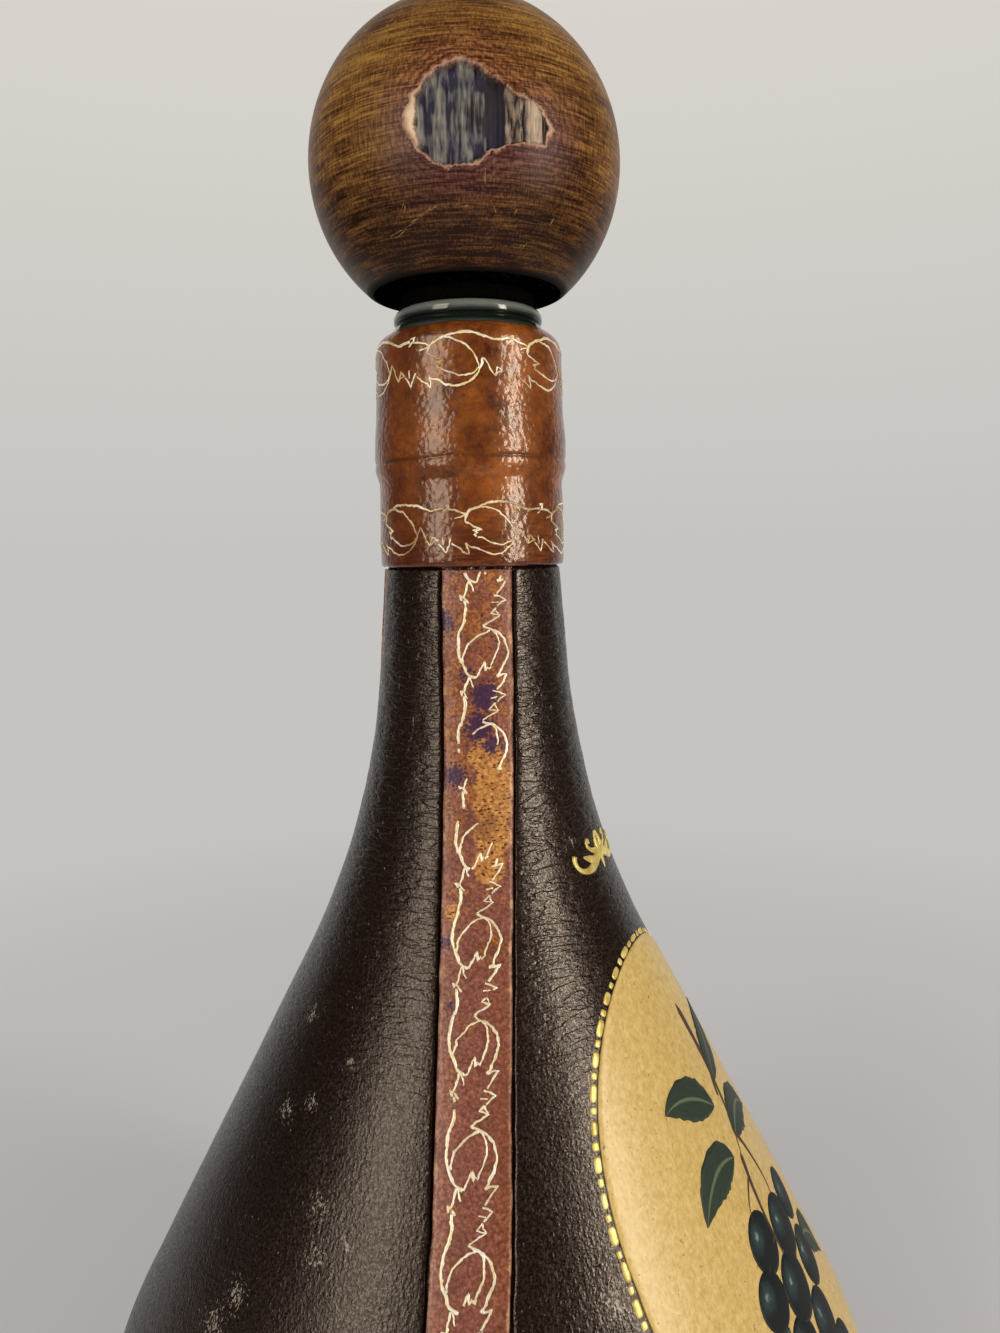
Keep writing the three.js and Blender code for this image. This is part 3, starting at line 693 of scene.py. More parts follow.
# One turn of the wheel: width of each stroke, kind of its corners, and its points across and down, in mm
roulette = [
    (0.7, "smooth", [(-3.35, -5.4), (-3.25, -4.1), (-3.15, -3.0), (-3.35, -1.7), (-3.8, -0.4), (-4.2, 0.7),
                     (-4.4, 2.6), (-4.35, 4.1), (-4.05, 5.5), (-3.5, 6.6), (-3.05, 7.8), (-2.5, 8.5),
                     (-1.5, 8.95)]),
    (0.55, "sharp", [(-2.5, 8.5), (-2.8, 9.4), (-3.0, 10.7), (-3.35, 11.8), (-4.0, 11.5), (-3.8, 12.4)]),
    (0.4, "sharp", [(-2.4, 8.7), (-2.1, 9.7), (-1.8, 10.6)]),
    (0.45, "sharp", [(-3.35, 11.8), (-2.7, 12.9)]),
    (0.48, "smooth", [(0.9, 0.0), (-0.1, 0.45), (-1.0, 0.95), (-1.9, 1.85), (-2.6, 2.6), (-3.05, 3.3),
                      (-3.3, 4.2), (-3.6, 5.3), (-3.6, 6.1)]),
    (0.46, "smooth", [(1.1, 0.05), (1.9, 0.95), (2.25, 2.3), (2.25, 3.5), (1.9, 4.7), (1.35, 6.0),
                      (1.1, 6.75)]),
    (0.5, "sharp", [(1.1, 6.75), (0.85, 7.3), (0.5, 6.9), (0.1, 7.6), (-0.05, 6.05), (-0.65, 7.5),
                    (-1.2, 8.8), (-1.5, 8.95)]),
    (0.36, "sharp", [(0.3, 7.2), (-0.05, 6.05), (0.1, 7.6)]),
    (0.54, "smooth", [(-0.35, -0.75), (0.5, -0.3), (1.3, 0.05), (2.05, 0.5), (3.1, 1.65), (3.6, 2.75),
                      (3.9, 3.95), (3.75, 5.1), (3.3, 6.3), (2.9, 7.2), (2.6, 8.2), (2.05, 8.8)]),
    (0.5, "sharp", [(2.05, 8.8), (3.1, 8.45), (3.9, 8.35), (3.35, 9.15), (3.1, 9.7), (2.1, 11.2)]),
    (0.46, "sharp", [(1.5, 11.5), (2.3, 11.7), (3.5, 12.3), (2.8, 12.8), (2.1, 13.6)]),
    (0.34, "sharp", [(1.1, 12.8), (2.3, 12.7)]),
    (0.44, "sharp", [(1.75, 13.8), (1.0, 14.8), (2.4, 15.2), (1.3, 15.95), (0.5, 16.4), (-0.35, 17.05)]),
    (0.34, "sharp", [(1.75, 13.8), (1.9, 14.5), (2.4, 15.2)]),
]
# Height in mm against how far the wheel ran off the strap's middle
wheel_drift = [(120, -0.1), (165, 0.1), (200, 0.8), (230, 1.2)]
foil_flatness = 0.4
foil_rise = 0.03 * MM
foil_weld = 0.005 * MM
foil_start = 0.6 * MM
foil_end = heel_along - 2 * MM
boldness = (0.85, 1.2)
pressure = (0.6, 1.25)
stroke_step = 0.42
knot_shake = 0.08
line_shake = 0.035
strap_repeats = 16
strap_weight = 0.86
strap_seed = 3
first_loop_height = 227.3 * MM


def gilt(name, dim, bright, thinnest):
    """Gold leaf on a clear size, in tones between two, with leather showing where it is rubbed thin."""
    made, tree, shader = finish(name, {"Metallic": 0.3, "IOR": 1.5, "Specular IOR Level": 0.6})
    place = add(tree, "TexCoord").outputs["Object"]
    rub = add(tree, "TexNoise", Vector=place, Scale=1 / (1.6 * MM), Detail=4.0)
    tone = add(tree, "MapRange", rub, 0.35, 0.65)
    leaf = add(tree, "Mix", tone, dim, bright, data_type="RGBA")
    patch = add(tree, "TexNoise", Vector=place, Scale=1 / (9 * MM), Detail=2.0)
    thin = add(tree, "MapRange", patch, 0.46, 0.64, 0.0, thinnest)
    worn = add(tree, "Mix", thin, leaf, "#99652d", data_type="RGBA")
    gloss = add(tree, "MapRange", rub, 0.0, 1.0, 0.22, 0.5)
    feed(shader, {"Base Color": worn, "Roughness": gloss})
    return made


# Pale leaf, rubbed thin: nearly white where it catches the light.
gold = gilt("rubbed_gold_leaf", "#f6e9b4", "#fffdee", 0.25)
# The collar's leaf, handled most: from bright to a brown film.
thin_gold = gilt("thin_gold_leaf", "#f2dfa0", "#fffdee", 0.8)


def foil(name, strokes, settle, material=gold, body="bottle"):
    """A piece made of strokes, each a list of places with widths, pressed flat on a surface."""
    line = bpy.data.curves.new(name + "_line", "CURVE")
    line.dimensions = "3D"
    line.bevel_depth = 0.5
    line.bevel_resolution = 1
    line.resolution_u = 1
    line.use_fill_caps = True
    for places in strokes:
        spline = line.splines.new("POLY")
        spline.points.add(len(places) - 1)
        for knot, (point, width) in zip(spline.points, places):
            knot.co = (*point, 1.0)
            knot.radius = width
    drawn = bpy.data.objects.new(name + "_line", line)
    bpy.context.scene.collection.objects.link(drawn)
    mesh = bpy.data.meshes.new_from_object(drawn.evaluated_get(bpy.context.evaluated_depsgraph_get()))
    bpy.data.objects.remove(drawn)
    bm = bmesh.new()
    bm.from_mesh(mesh)
    bpy.data.meshes.remove(mesh)
    bmesh.ops.remove_doubles(bm, verts=bm.verts, dist=foil_weld)
    for corner in bm.verts:
        foot, direction = settle(corner.co)
        away = (corner.co - foot).dot(direction)
        corner.co -= direction * (away * (1 - foil_flatness) - foil_rise)
    made = piece(name, bm, material)
    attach(made, body)
    return made


def drawn_line(points, kind, step):
    """A line through points, resampled at an even step, rounded or left with sharp corners."""
    points = [Vector(point) for point in points]
    ends = [points[0] * 2 - points[1], *points, points[-1] * 2 - points[-2]]
    line = []
    for before, start, end, after in zip(ends, ends[1:], ends[2:], ends[3:]):
        count = max(1, round((end - start).length / step))
        for f in np.arange(count) / count:
            if kind == "smooth":
                leave = (end - before) / 2
                arrive = (after - start) / 2
                line.append(start * (2 * f ** 3 - 3 * f ** 2 + 1) + leave * (f ** 3 - 2 * f ** 2 + f)
                            + end * (3 * f ** 2 - 2 * f ** 3) + arrive * (f ** 3 - f ** 2))
            else:
                line.append(start.lerp(end, f))
    return [*line, points[-1]]


def wheel_strokes(count, first, step, place, wear, seed, weight):
    """The wheel's pattern repeated down a line, as ragged strokes cut where the foil is worn off."""
    hand = random.Random(seed)
    strokes = []
    for turn in range(count):
        for width, kind, points in roulette:
            bold = hand.uniform(*boldness)
            knots = [(across + hand.gauss(0.0, knot_shake), down + hand.gauss(0.0, knot_shake))
                     for across, down in points]
            run = []
            for across, down in drawn_line(knots, kind, stroke_step):
                across += hand.gauss(0.0, line_shake)
                down = first + turn * step + down * step / repeat + hand.gauss(0.0, line_shake)
                point = place(across * MM, down * MM)
                if point is not None and wear(point) < 1.0:
                    run.append((point, width * weight * bold * hand.uniform(*pressure) * MM))
                    continue
                if len(run) > 2:
                    strokes.append(run)
                run = []
            if len(run) > 2:
                strokes.append(run)
    return strokes


bare_height = 195 * MM
bare_azimuth = math.radians(-57)
bare_middle = on_body(along_at(bare_height), bare_azimuth, panel_lift)
bare_stretch = Vector((1.0, 1.0, 0.55))
bare_reach = 7.5 * MM
bare_wear = 0.9
wear_level = 0.42
wear_waves = [(8, 0.7), (1.5, 0.35)]


def foil_wear(point):
    """How far the foil is worn at a place: none at 0, gone at 1."""
    rubbing = wear_level + sum(uneven(point, spread * MM, depth) for spread, depth in wear_waves)
    away = (point - bare_middle) * bare_stretch
    return rubbing + bare_wear * math.exp(-(away.length / bare_reach) ** 2)


def settler(surface, lift):
    """A function that finds the place under a stroke on the leather at a lift, and the way out from it."""
    down_to = [-on_body(along, 0.0, lift).z for along in skin_along[:len(side)]]

    def settle(point):
        azimuth = math.atan2(point.x, -point.y)
        along = np.interp(-point.z, down_to, skin_along[:len(side)])
        return surface(along, azimuth), outward(along, azimuth)

    return settle


first_loop = along_at(first_loop_height) / MM
for seed, strap in enumerate(straps):

    def on_this_strap(across, down):
        if not foil_start < down < foil_end:
            return None
        height = np.interp(down, skin_along, skin_line[:, 1])
        drift = np.interp(height / MM, *zip(*wheel_drift)) * MM
        return strap_point(down, beside_strap(strap, down, 0.0, across + drift))

    strokes = wheel_strokes(strap_repeats, first_loop - repeat, repeat, on_this_strap, foil_wear,
                            strap_seed + seed, strap_weight)
    foil("gold_on_" + strap + "_strap", strokes, settler(strap_point, strap_lift))


def settle_on_collar(point):
    azimuth = math.atan2(point.x, -point.y)
    radius = collar_radius(point.z - collar_bottom, azimuth)
    return polar(radius, azimuth, point.z), polar(1.0, azimuth, 0.0)


collar_repeats = 6
border_radius = 18.4 * MM
border_repeat = math.tau * border_radius / MM / collar_repeats
border_weight = 0.76
border_seed = 11
border_wear = 0.15
collar_stretch = 1.16
borders = {"upper": (collar_top - 7.4 * MM, -59.0), "lower": (collar_bottom + 6.8 * MM, -39.2)}
for seed, (border, (border_height, loop_end)) in enumerate(borders.items()):

    def on_this_border(across, down):
        azimuth = math.radians(loop_end) - down / border_radius
        height = border_height - across * collar_stretch
        return polar(collar_radius(height - collar_bottom, azimuth), azimuth, height)

    strokes = wheel_strokes(collar_repeats, 0.0, border_repeat, on_this_border,
                            lambda point: foil_wear(point) - border_wear, border_seed + seed, border_weight)
    foil("gold_" + border + "_border", strokes, settle_on_collar, thin_gold)

# Medallion
# A thin oval of cream lacquered leather glued on the front panel, its cut edge stained dark. It carries a
# small painted sprig of sloes, a common country motif, in dark blue-green, olive and brown.
medallion_half_width = 37.9 * MM
medallion_half_height = 57.3 * MM
medallion_rise = 30.1 * MM
medallion_thickness = 0.4 * MM
medallion_glue = 0.05 * MM
medallion_lift = panel_lift + medallion_glue + medallion_thickness
slope = Vector((0.0, math.sin(shoulder_angle), math.cos(shoulder_angle)))
medallion_middle = Vector((0.0, -cone_bottom_radius, cone_bottom)) + slope * medallion_rise


def on_front(across, up, lift):
    """A place on the front from its offsets to the medallion's middle, seen square to the shoulder."""
    reach = side[1:, 0] + lift * side[1:, 2]
    height = side[1:, 1] + lift * side[1:, 3]
    depth = -np.sqrt(np.maximum(reach ** 2 - across ** 2, 0.0))
    rise = (depth - medallion_middle.y) * slope.y + (height - medallion_middle.z) * slope.z
    along = np.interp(-up, -rise, skin_along[1:len(side)])
    radius = body_radius(along) + lift * np.interp(along, skin_along, skin_line[:, 2])
    return along, math.asin(across / radius)


def front_point(across, up, lift):
    along, azimuth = on_front(across, up, lift)
    return panel_point(along, azimuth, lift)


# Lacquered cream sheepskin: a soft gloss, faint tan clouding and fibres, brown specks, and a dark edge.
cream, tree, shader = finish("lacquered_cream_sheepskin", {
    "IOR": 1.5, "Specular IOR Level": 0.45, "Coat Weight": 0.15, "Coat Roughness": 0.2})
height, place, bump = leather_grain(tree, 0.8 * MM, 0.03 * MM)
cloud = add(tree, "TexNoise", Vector=place, Scale=1 / (1.5 * MM), Detail=6.0, Roughness=0.7)
laid = add(tree, "Mapping", Vector=place, Rotation=(0.0, 0.5, 0.0), Scale=(1.0, 1.0, 0.15))
fibre = add(tree, "TexNoise", Vector=laid, Scale=1 / (0.5 * MM), Detail=3.0)
mixed = add(tree, "Math", fibre, 0.6, cloud, operation="MULTIPLY_ADD")
mottle = add(tree, "MapRange", mixed, 0.6, 1.0)
toned = add(tree, "Mix", mottle, "#bf9f52", "#d9c180", data_type="RGBA")
freckle = add(tree, "TexNoise", Vector=place, Scale=1 / (0.7 * MM), Detail=2.0)
speck = add(tree, "MapRange", freckle, 0.68, 0.74, 0.0, 0.8)
specked = add(tree, "Mix", speck, toned, "#7d5427", data_type="RGBA")
rim = add(tree, "Attribute", attribute_name="rim")
shade = add(tree, "Mix", rim, specked, "#2c1a0e", data_type="RGBA")
gloss = add(tree, "MapRange", cloud, 0.0, 1.0, 0.28, 0.5)
feed(shader, {"Base Color": shade, "Roughness": gloss, "Normal": bump})


def oval(turn, beyond=0.0):
    """Across and up of the medallion's edge at a turn from its right, or of a line beyond that edge."""
    return (medallion_half_width + beyond) * math.cos(turn), (medallion_half_height + beyond) * math.sin(turn)


oval_columns = 160
oval_reach = [1.0, 0.997, 0.993, 0.985, 0.972, *np.linspace(0.95, 0.0, 40)]
oval_drop = [0.4, 0.16, 0.06, 0.01]


def oval_place(column, row):
    turn = -math.tau * column / (oval_columns - 1)
    reach = oval_reach[row]
    drop = (oval_drop[row] if row < len(oval_drop) else 0.0) * MM
    across, up = oval(turn)
    return front_point(across * reach, up * reach, medallion_lift - drop)


bm = bmesh.new()
lay(bm, oval_columns, len(oval_reach), oval_place)
rim_mark = bm.verts.layers.float.new("rim")
for order, corner in enumerate(bm.verts):
    corner[rim_mark] = 1.0 if order >= len(bm.verts) - oval_columns else 0.0
bmesh.ops.remove_doubles(bm, verts=bm.verts, dist=weld)
medallion = piece("medallion", bm, cream)
thicken(medallion, medallion_thickness)
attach(medallion, "bottle")
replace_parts(medallion, "front_medallion")

# Painted sprig
# Body colour brushed on the medallion: a brown twig, olive leaves with pale ribs, and round sloes in
# blue-green with a bloom. Each stroke of the brush stands a little proud of the lacquer.
paint_rise = 0.02 * MM
paint_lift = medallion_lift + paint_rise
paint_thickness = 0.05 * MM
# From the medallion's middle in mm: middle and radius of a sloe, or start, bend, end and half width
sloes = [(-7.5, -1.5, 5.2), (3.0, -5.0, 5.6), (-13.0, -9.0, 4.8), (-3.5, -13.0, 5.7), (8.8, -15.0, 5.3),
         (-9.8, -20.5, 5.1), (1.7, -23.5, 5.4), (12.6, -4.0, 4.8), (-5.5, -31.0, 4.8), (6.0, -33.0, 5.0)]
leaves = [((-3.5, 13), (-12, 18), (-20, 10.5), 4.4), ((1.5, 14.5), (11, 20), (18.5, 13), 4.6),
          ((-1.5, 22.5), (-10, 31), (-17, 30), 3.9), ((4, 25), (12.5, 32.5), (18, 38), 4.1),
          ((-12.5, -14.5), (-20, -16), (-23, -25), 3.9), ((12, -13), (20, -14.5), (23, -23.5), 4.1),
          ((1, -29.5), (-1.5, -38), (3.5, -45), 3.6)]
twigs = [((3.5, 42), (7, 22), (0, 11.5), 1.9), ((0, 12), (-3.5, 3), (-2.5, -10), 1.4),
         ((-2.5, -8), (-1.5, -22), (1, -33), 1.0), ((1.5, 16), (7, 6), (5, 0), 0.9),
         ((-1.5, 8), (-7, 5.5), (-7.5, 3), 0.7), ((-2.5, -3.5), (-8.5, -3.5), (-12, -6.5), 0.7),
         ((0, -12), (6, -8.5), (8.5, -11), 0.7), ((2.5, 22.5), (3.5, 27), (7.5, 30), 0.9)]
widest_twig = 3
stroke_layer = 0.02 * MM
stroke_crown = 0.05
stroke_wobble = 0.16
wobble_rate = 0.7
stroke_tip = 0.02
sloe_crown = 0.12
sloe_tall = 1.06
gouache = {"IOR": 1.45, "Specular IOR Level": 0.35, "Roughness": 0.5}

# Dark gouache: matt, deep blue-green, with a paler bloom on the side that faces the light.
sloe_paint, tree, shader = finish("blue_green_gouache", gouache)
spread = add(tree, "UVMap", uv_map="brush")
bloom = add(tree, "VectorMath", spread, (-0.32, 0.38, 0.0), operation="DISTANCE")
place = add(tree, "TexCoord").outputs["Object"]
bristle = add(tree, "TexNoise", Vector=place, Scale=1 / (0.9 * MM), Detail=4.0)
ragged = add(tree, "Math", bristle, 0.5, bloom, operation="MULTIPLY_ADD")
lit = add(tree, "MapRange", ragged, 0.35, 0.95, 1.0, 0.0, interpolation_type="SMOOTHSTEP")
dab = add(tree, "MapRange", ragged, 0.28, 0.4, 0.85, 0.0)
deep = add(tree, "Mix", lit, "#10191b", "#2d4145", data_type="RGBA")
shade = add(tree, "Mix", dab, deep, "#7f948f", data_type="RGBA")
feed(shader, {"Base Color": shade})

# The same paint in olive, streaked along the stroke, with a pale rib down the middle of each leaf.
leaf_paint, tree, shader = finish("olive_gouache", gouache)
spread = add(tree, "UVMap", uv_map="brush")
drawn = add(tree, "Mapping", Vector=spread, Scale=(3.0, 1.0, 1.0))
bristle = add(tree, "TexNoise", Vector=drawn, Scale=3.0, Detail=4.0)
streak = add(tree, "Mix", bristle, "#1a2420", "#3b4a3c", data_type="RGBA")
across = add(tree, "SeparateXYZ", Vector=spread)
middle = add(tree, "Math", across.outputs["X"], operation="ABSOLUTE")
rib = add(tree, "MapRange", middle, 0.04, 0.12, 0.7, 0.0)
shade = add(tree, "Mix", rib, streak, "#6f7b5c", data_type="RGBA")
feed(shader, {"Base Color": shade})

# Brown body colour, dry-brushed so that darker streaks show.
twig_paint, tree, shader = finish("brown_gouache", {**gouache, "Roughness": 0.55})
place = add(tree, "TexCoord").outputs["Object"]
bristle = add(tree, "TexNoise", Vector=place, Scale=1 / (1.2 * MM), Detail=4.0)
shade = add(tree, "Mix", bristle, "#33221f", "#624438", data_type="RGBA")
feed(shader, {"Base Color": shade})


def brushed(name, sheets, columns, rows, place, material):
    """Painted strokes laid one by one on the medallion, each spread over its own brush map."""
    bm = bmesh.new()
    spread = bm.loops.layers.uv.new("brush")
    for order, sheet in enumerate(sheets):
        stroke_lift = paint_lift + order % 4 * stroke_layer
        corners = set(lay(bm, columns, rows, lambda column, row: Vector((column, row, 0.0))))
        for corner in corners:
            x = 2 * corner.co.x / (columns - 1) - 1
            y = 1 - 2 * corner.co.y / (rows - 1)
            for loop in corner.link_loops:
                loop[spread].uv = (x, y)
            across, up, crown = place(sheet, x, y)
            corner.co = front_point(across * MM, up * MM, stroke_lift + crown * MM)
    made = piece(name, bm, material)
    thicken(made, paint_thickness)
    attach(made, "bottle")
    return made


def sloe_place(sheet, x, y):
    across, up, radius = sheet
    x, y = x * math.sqrt(1 - y * y / 2), y * math.sqrt(1 - x * x / 2)
    return across + x * radius, up + y * radius * sloe_tall, sloe_crown * (1 - min(1.0, x * x + y * y))


def stroke_place(sheet, x, y):
    start, bend, end, width = sheet
    share = (1 - y) / 2
    start, bend, end = Vector(start), Vector(bend), Vector(end)
    middle = start * (1 - share) ** 2 + bend * 2 * share * (1 - share) + end * share ** 2
    heading = ((bend - start) * (1 - share) + (end - bend) * share).normalized()
    shape = 0.5 * (1.15 - share) * min(1, share * 20)
    if width > widest_twig:
        shape = math.sin(math.pi * share ** 0.8) ** 0.8
    wobble = 1.0 + stroke_wobble * noise.noise(Vector((*middle * wobble_rate, x)))
    reach = x * width * max(shape, stroke_tip) * wobble
    return middle.x - heading.y * reach, middle.y + heading.x * reach, stroke_crown * (1 - x * x)


brushed("painted_twigs", twigs, 5, 24, stroke_place, twig_paint)
brushed("painted_leaves", leaves, 9, 26, stroke_place, leaf_paint)
brushed("painted_sloes", sloes, 17, 17, sloe_place, sloe_paint)

# Gold round the medallion
# Long and short dashes of gold pressed in turn round the oval, and above it a small scroll of a pointed
# leaf between curls, pressed with one heated die.
dash_away = 0.62 * MM
# Half length and half width of the long dash and the short one, in mm
dash_sizes = [(1.5, 0.68), (0.78, 0.64)]
dash_gap = 0.55 * MM
dash_height = 0.14 * MM
dash_square = 0.6
dash_lengths = (0.8, 1.12)
dash_widths = (0.8, 1.1)
hand = random.Random(5)

# Thicker leaf of a yellower gold, whole but for specks.
bright_gold = gilt("bright_gold_leaf", "#d3ba55", "#f6e998", 0.3)

bm = bmesh.new()
turn = np.linspace(0.0, math.tau, 2000)
ring = [front_point(*oval(a, dash_away), panel_lift) for a in turn]
ring_lengths = np.concatenate([[0.0], np.cumsum([(b - a).length for a, b in zip(ring, ring[1:])])])
pair_length = sum(2 * long for long, wide in dash_sizes) * MM + 2 * dash_gap
pairs = round(ring_lengths[-1] / pair_length)
for pair in range(pairs):
    start = pair * ring_lengths[-1] / pairs
    for long, wide in dash_sizes:
        middle = start + long * MM
        start = middle + long * MM + dash_gap
        ends = [np.interp(middle + step * long * MM, ring_lengths, turn) for step in (-1, 0, 1)]
        before, at, after = (Vector(ring[int(end / math.tau * (len(turn) - 1))]) for end in ends)
        forward = (after - before).normalized()
        azimuth = math.atan2(at.x, -at.y)
        up = outward(along_at(at.z), azimuth)
        sideways = up.cross(forward).normalized()
        up = forward.cross(sideways)
        forward *= long * hand.uniform(*dash_lengths) * MM
        sideways *= wide * hand.uniform(*dash_widths) * MM
        for corner in bmesh.ops.create_uvsphere(bm, u_segments=12, v_segments=6, radius=1.0)["verts"]:
            x, y = (math.copysign(abs(part) ** dash_square, part) for part in corner.co[:2])
            corner.co = at + forward * x + sideways * y + up * dash_height * corner.co.z
dashes = piece("gold_dashes", bm, bright_gold)
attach(dashes, "bottle")

scroll_height = 182 * MM
scroll_middle = along_at(scroll_height) / MM
scroll_step = 0.4
# One half of the die: points across and up from its middle, with the width of the line there, in mm
half_scroll = [
    ("smooth", [(-9.0, 1.0, 1.5), (-9.4, 0.0, 1.3), (-9.0, -1.4, 1.0), (-7.8, -2.3, 1.1), (-6.2, -2.5, 1.4),
                (-4.6, -2.2, 1.9), (-3.2, -1.4, 2.3), (-1.6, -0.6, 2.4), (0.0, -0.2, 2.2)]),
    ("smooth", [(-3.2, -1.2, 2.0), (-5.0, -0.5, 1.6), (-6.7, 0.3, 0.5)]),
    ("smooth", [(-1.0, 0.2, 1.8), (-2.6, 0.6, 1.2), (-3.9, 1.2, 0.9), (-4.6, 2.1, 0.9), (-4.3, 3.0, 1.1),
                (-3.7, 2.8, 0.9), (-3.6, 2.2, 0.5)]),
    ("smooth", [(-0.3, -0.4, 2.2), (-0.8, 1.0, 1.9), (-0.8, 2.4, 1.5), (-0.2, 4.0, 0.6)]),
    ("sharp", [(0.0, -0.6, 1.9), (0.0, -1.8, 1.3), (0.0, -3.7, 0.3)]),
]
scroll = []
for kind, points in half_scroll:
    for mirror in (1, -1):
        line = drawn_line([point[:2] for point in points], kind, scroll_step)
        lengths = np.cumsum([0.0, *[math.dist(a, b) for a, b in zip(points, points[1:])]])
        places = []
        for order, (across, up) in enumerate(line):
            along = (scroll_middle - up) * MM
            width = np.interp(order / (len(line) - 1) * lengths[-1], lengths, [point[2] for point in points])
            places.append((panel_point(along, mirror * across * MM / body_radius(along)), width * MM))
        scroll.append(places)
foil("gold_scroll", scroll, settler(panel_point, panel_lift), bright_gold)

# Base disc
# A round of dark wool felt glued under the base, over the turned-in edges of the leather.
# The bottle stands on it.
disc_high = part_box("base_disc")[1]
felt_radius = disc_high.x
felt_top = disc_high.z
felt_round = 0.6 * MM
felt_outline = [
    (0.0, 0.0),
    *rounding(felt_radius - felt_round, felt_round, felt_round, -felt_round, quarter),
    *rounding(felt_radius - felt_round, felt_top - felt_round, felt_round, felt_round, quarter[::-1]),
    (0.0, felt_top),
]

# Pressed wool felt: matt, dark brown, with short fibres that lie every way.
felt, tree, shader = finish("dark_wool_felt", {
    "Roughness": 0.95, "Specular IOR Level": 0.15, "Sheen Weight": 0.3})
place = add(tree, "TexCoord").outputs["Object"]
fibre = add(tree, "TexNoise", Vector=place, Scale=1 / (0.5 * MM), Detail=5.0, Distortion=1.5)
shade = add(tree, "Mix", fibre, "#1d1612", "#3a2f28", data_type="RGBA")
bump = add(tree, "Bump", Height=fibre, Distance=0.2 * MM)
feed(shader, {"Base Color": shade, "Normal": bump})

base = piece("base_felt_disc", turned(felt_outline), felt, sharp=math.radians(60))
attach(base, "bottle")
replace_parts(base, "base_disc")

# Cork and dowel
# A tapered natural cork that plugs the bore, bored from above for a plain beech dowel. The dowel is glued
# into the cork and into the ball, and joins them.
cork_low, cork_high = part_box("stopper_cork")
cork_radius = cork_high.x
cork_taper = 0.6 * MM
cork_chamfer = 1.0 * MM
cork_foot = cork_radius - cork_taper - cork_chamfer
cork_side = cork_low.z + cork_chamfer
dowel_low, dowel_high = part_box("stopper_dowel")
clearance = 0.3 * MM
dowel_hole = dowel_high.x + clearance
dowel_hole_bottom = dowel_low.z - clearance
dowel_hole_top = dowel_high.z + clearance
cork_outline = [
    (0.0, cork_low.z),
    (cork_foot, cork_low.z),
    *rounding(cork_foot, cork_side, cork_chamfer, -cork_chamfer, quarter[1:]),
    *[(cork_radius - cork_taper * (1 - f), cork_side + (cork_high.z - cork_side) * f)
      for f in np.linspace(0.05, 1.0, 40)],
    (dowel_hole, cork_high.z),
    (dowel_hole, dowel_hole_bottom),
    (0.0, dowel_hole_bottom),
]

# Bark cork: matt, warm tan, with dark lenticels that run across the grain.
cork_bark, tree, shader = finish("natural_cork", {"Roughness": 0.85, "Specular IOR Level": 0.2})
place = add(tree, "TexCoord").outputs["Object"]
grainy = add(tree, "TexNoise", Vector=place, Scale=1 / (1.2 * MM), Detail=5.0, Roughness=0.65)
toned = add(tree, "Mix", grainy, "#9c7344", "#cfa873", data_type="RGBA")
wide = add(tree, "Mapping", Vector=place, Scale=(0.35, 1.0, 0.6))
pits = add(tree, "TexNoise", Vector=wide, Scale=1 / (1.6 * MM), Detail=3.0)
hole = add(tree, "MapRange", pits, 0.6, 0.68)
shade = add(tree, "Mix", hole, toned, "#5a3a1f", data_type="RGBA")
bump = add(tree, "Bump", Height=hole, Distance=0.35 * MM, invert=True)
feed(shader, {"Base Color": shade, "Normal": bump})

cork = piece("cork", turned(cork_outline, 72), cork_bark, sharp=math.radians(50))
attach(cork, "stopper")
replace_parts(cork, "stopper_cork")

# Plain beech: pale, with short straight flecks along the dowel.
beech, tree, shader = finish("plain_beech", {"Roughness": 0.65})
place = add(tree, "TexCoord").outputs["Object"]
grown = add(tree, "Mapping", Vector=place, Scale=(1.0, 1.0, 0.12))
fleck = add(tree, "TexNoise", Vector=grown, Scale=1 / (0.6 * MM), Detail=4.0)
shade = add(tree, "Mix", fleck, "#b98f5c", "#d9b98a", data_type="RGBA")
feed(shader, {"Base Color": shade})
dowel_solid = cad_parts["stopper_dowel"].data
dowel_solid.materials.clear()
dowel_solid.materials.append(beech)

# Pad
# A thick washer of blackened leather under the flat of the ball, which seats on the lip of the glass.
pad_low, pad_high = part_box("stopper_pad")
pad_radius = pad_high.x
pad_hole = cork_radius + clearance
pad_round = 0.5 * MM
pad_outline = [
    (pad_hole, pad_high.z),
    (pad_hole, pad_low.z),
    *rounding(pad_radius - pad_round, pad_low.z + pad_round, pad_round, -pad_round, quarter),
    *rounding(pad_radius - pad_round, pad_high.z - pad_round, pad_round, pad_round, quarter[::-1]),
    (pad_hole, pad_high.z),
]

# Blackened leather, matt, with a faint grain.
pad_leather, tree, shader = finish("blackened_leather", {"IOR": 1.5, "Specular IOR Level": 0.0})
height, place, bump = leather_grain(tree, 0.7 * MM, 0.06 * MM)
shade = add(tree, "Mix", height, "#030303", "#0b0a09", data_type="RGBA")
gloss = add(tree, "MapRange", height, 0.0, 1.0, 0.5, 0.75)
feed(shader, {"Base Color": shade, "Roughness": gloss, "Normal": bump})

pad = piece("pad", turned(pad_outline), pad_leather, sharp=math.radians(60))
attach(pad, "stopper")
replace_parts(pad, "stopper_pad")

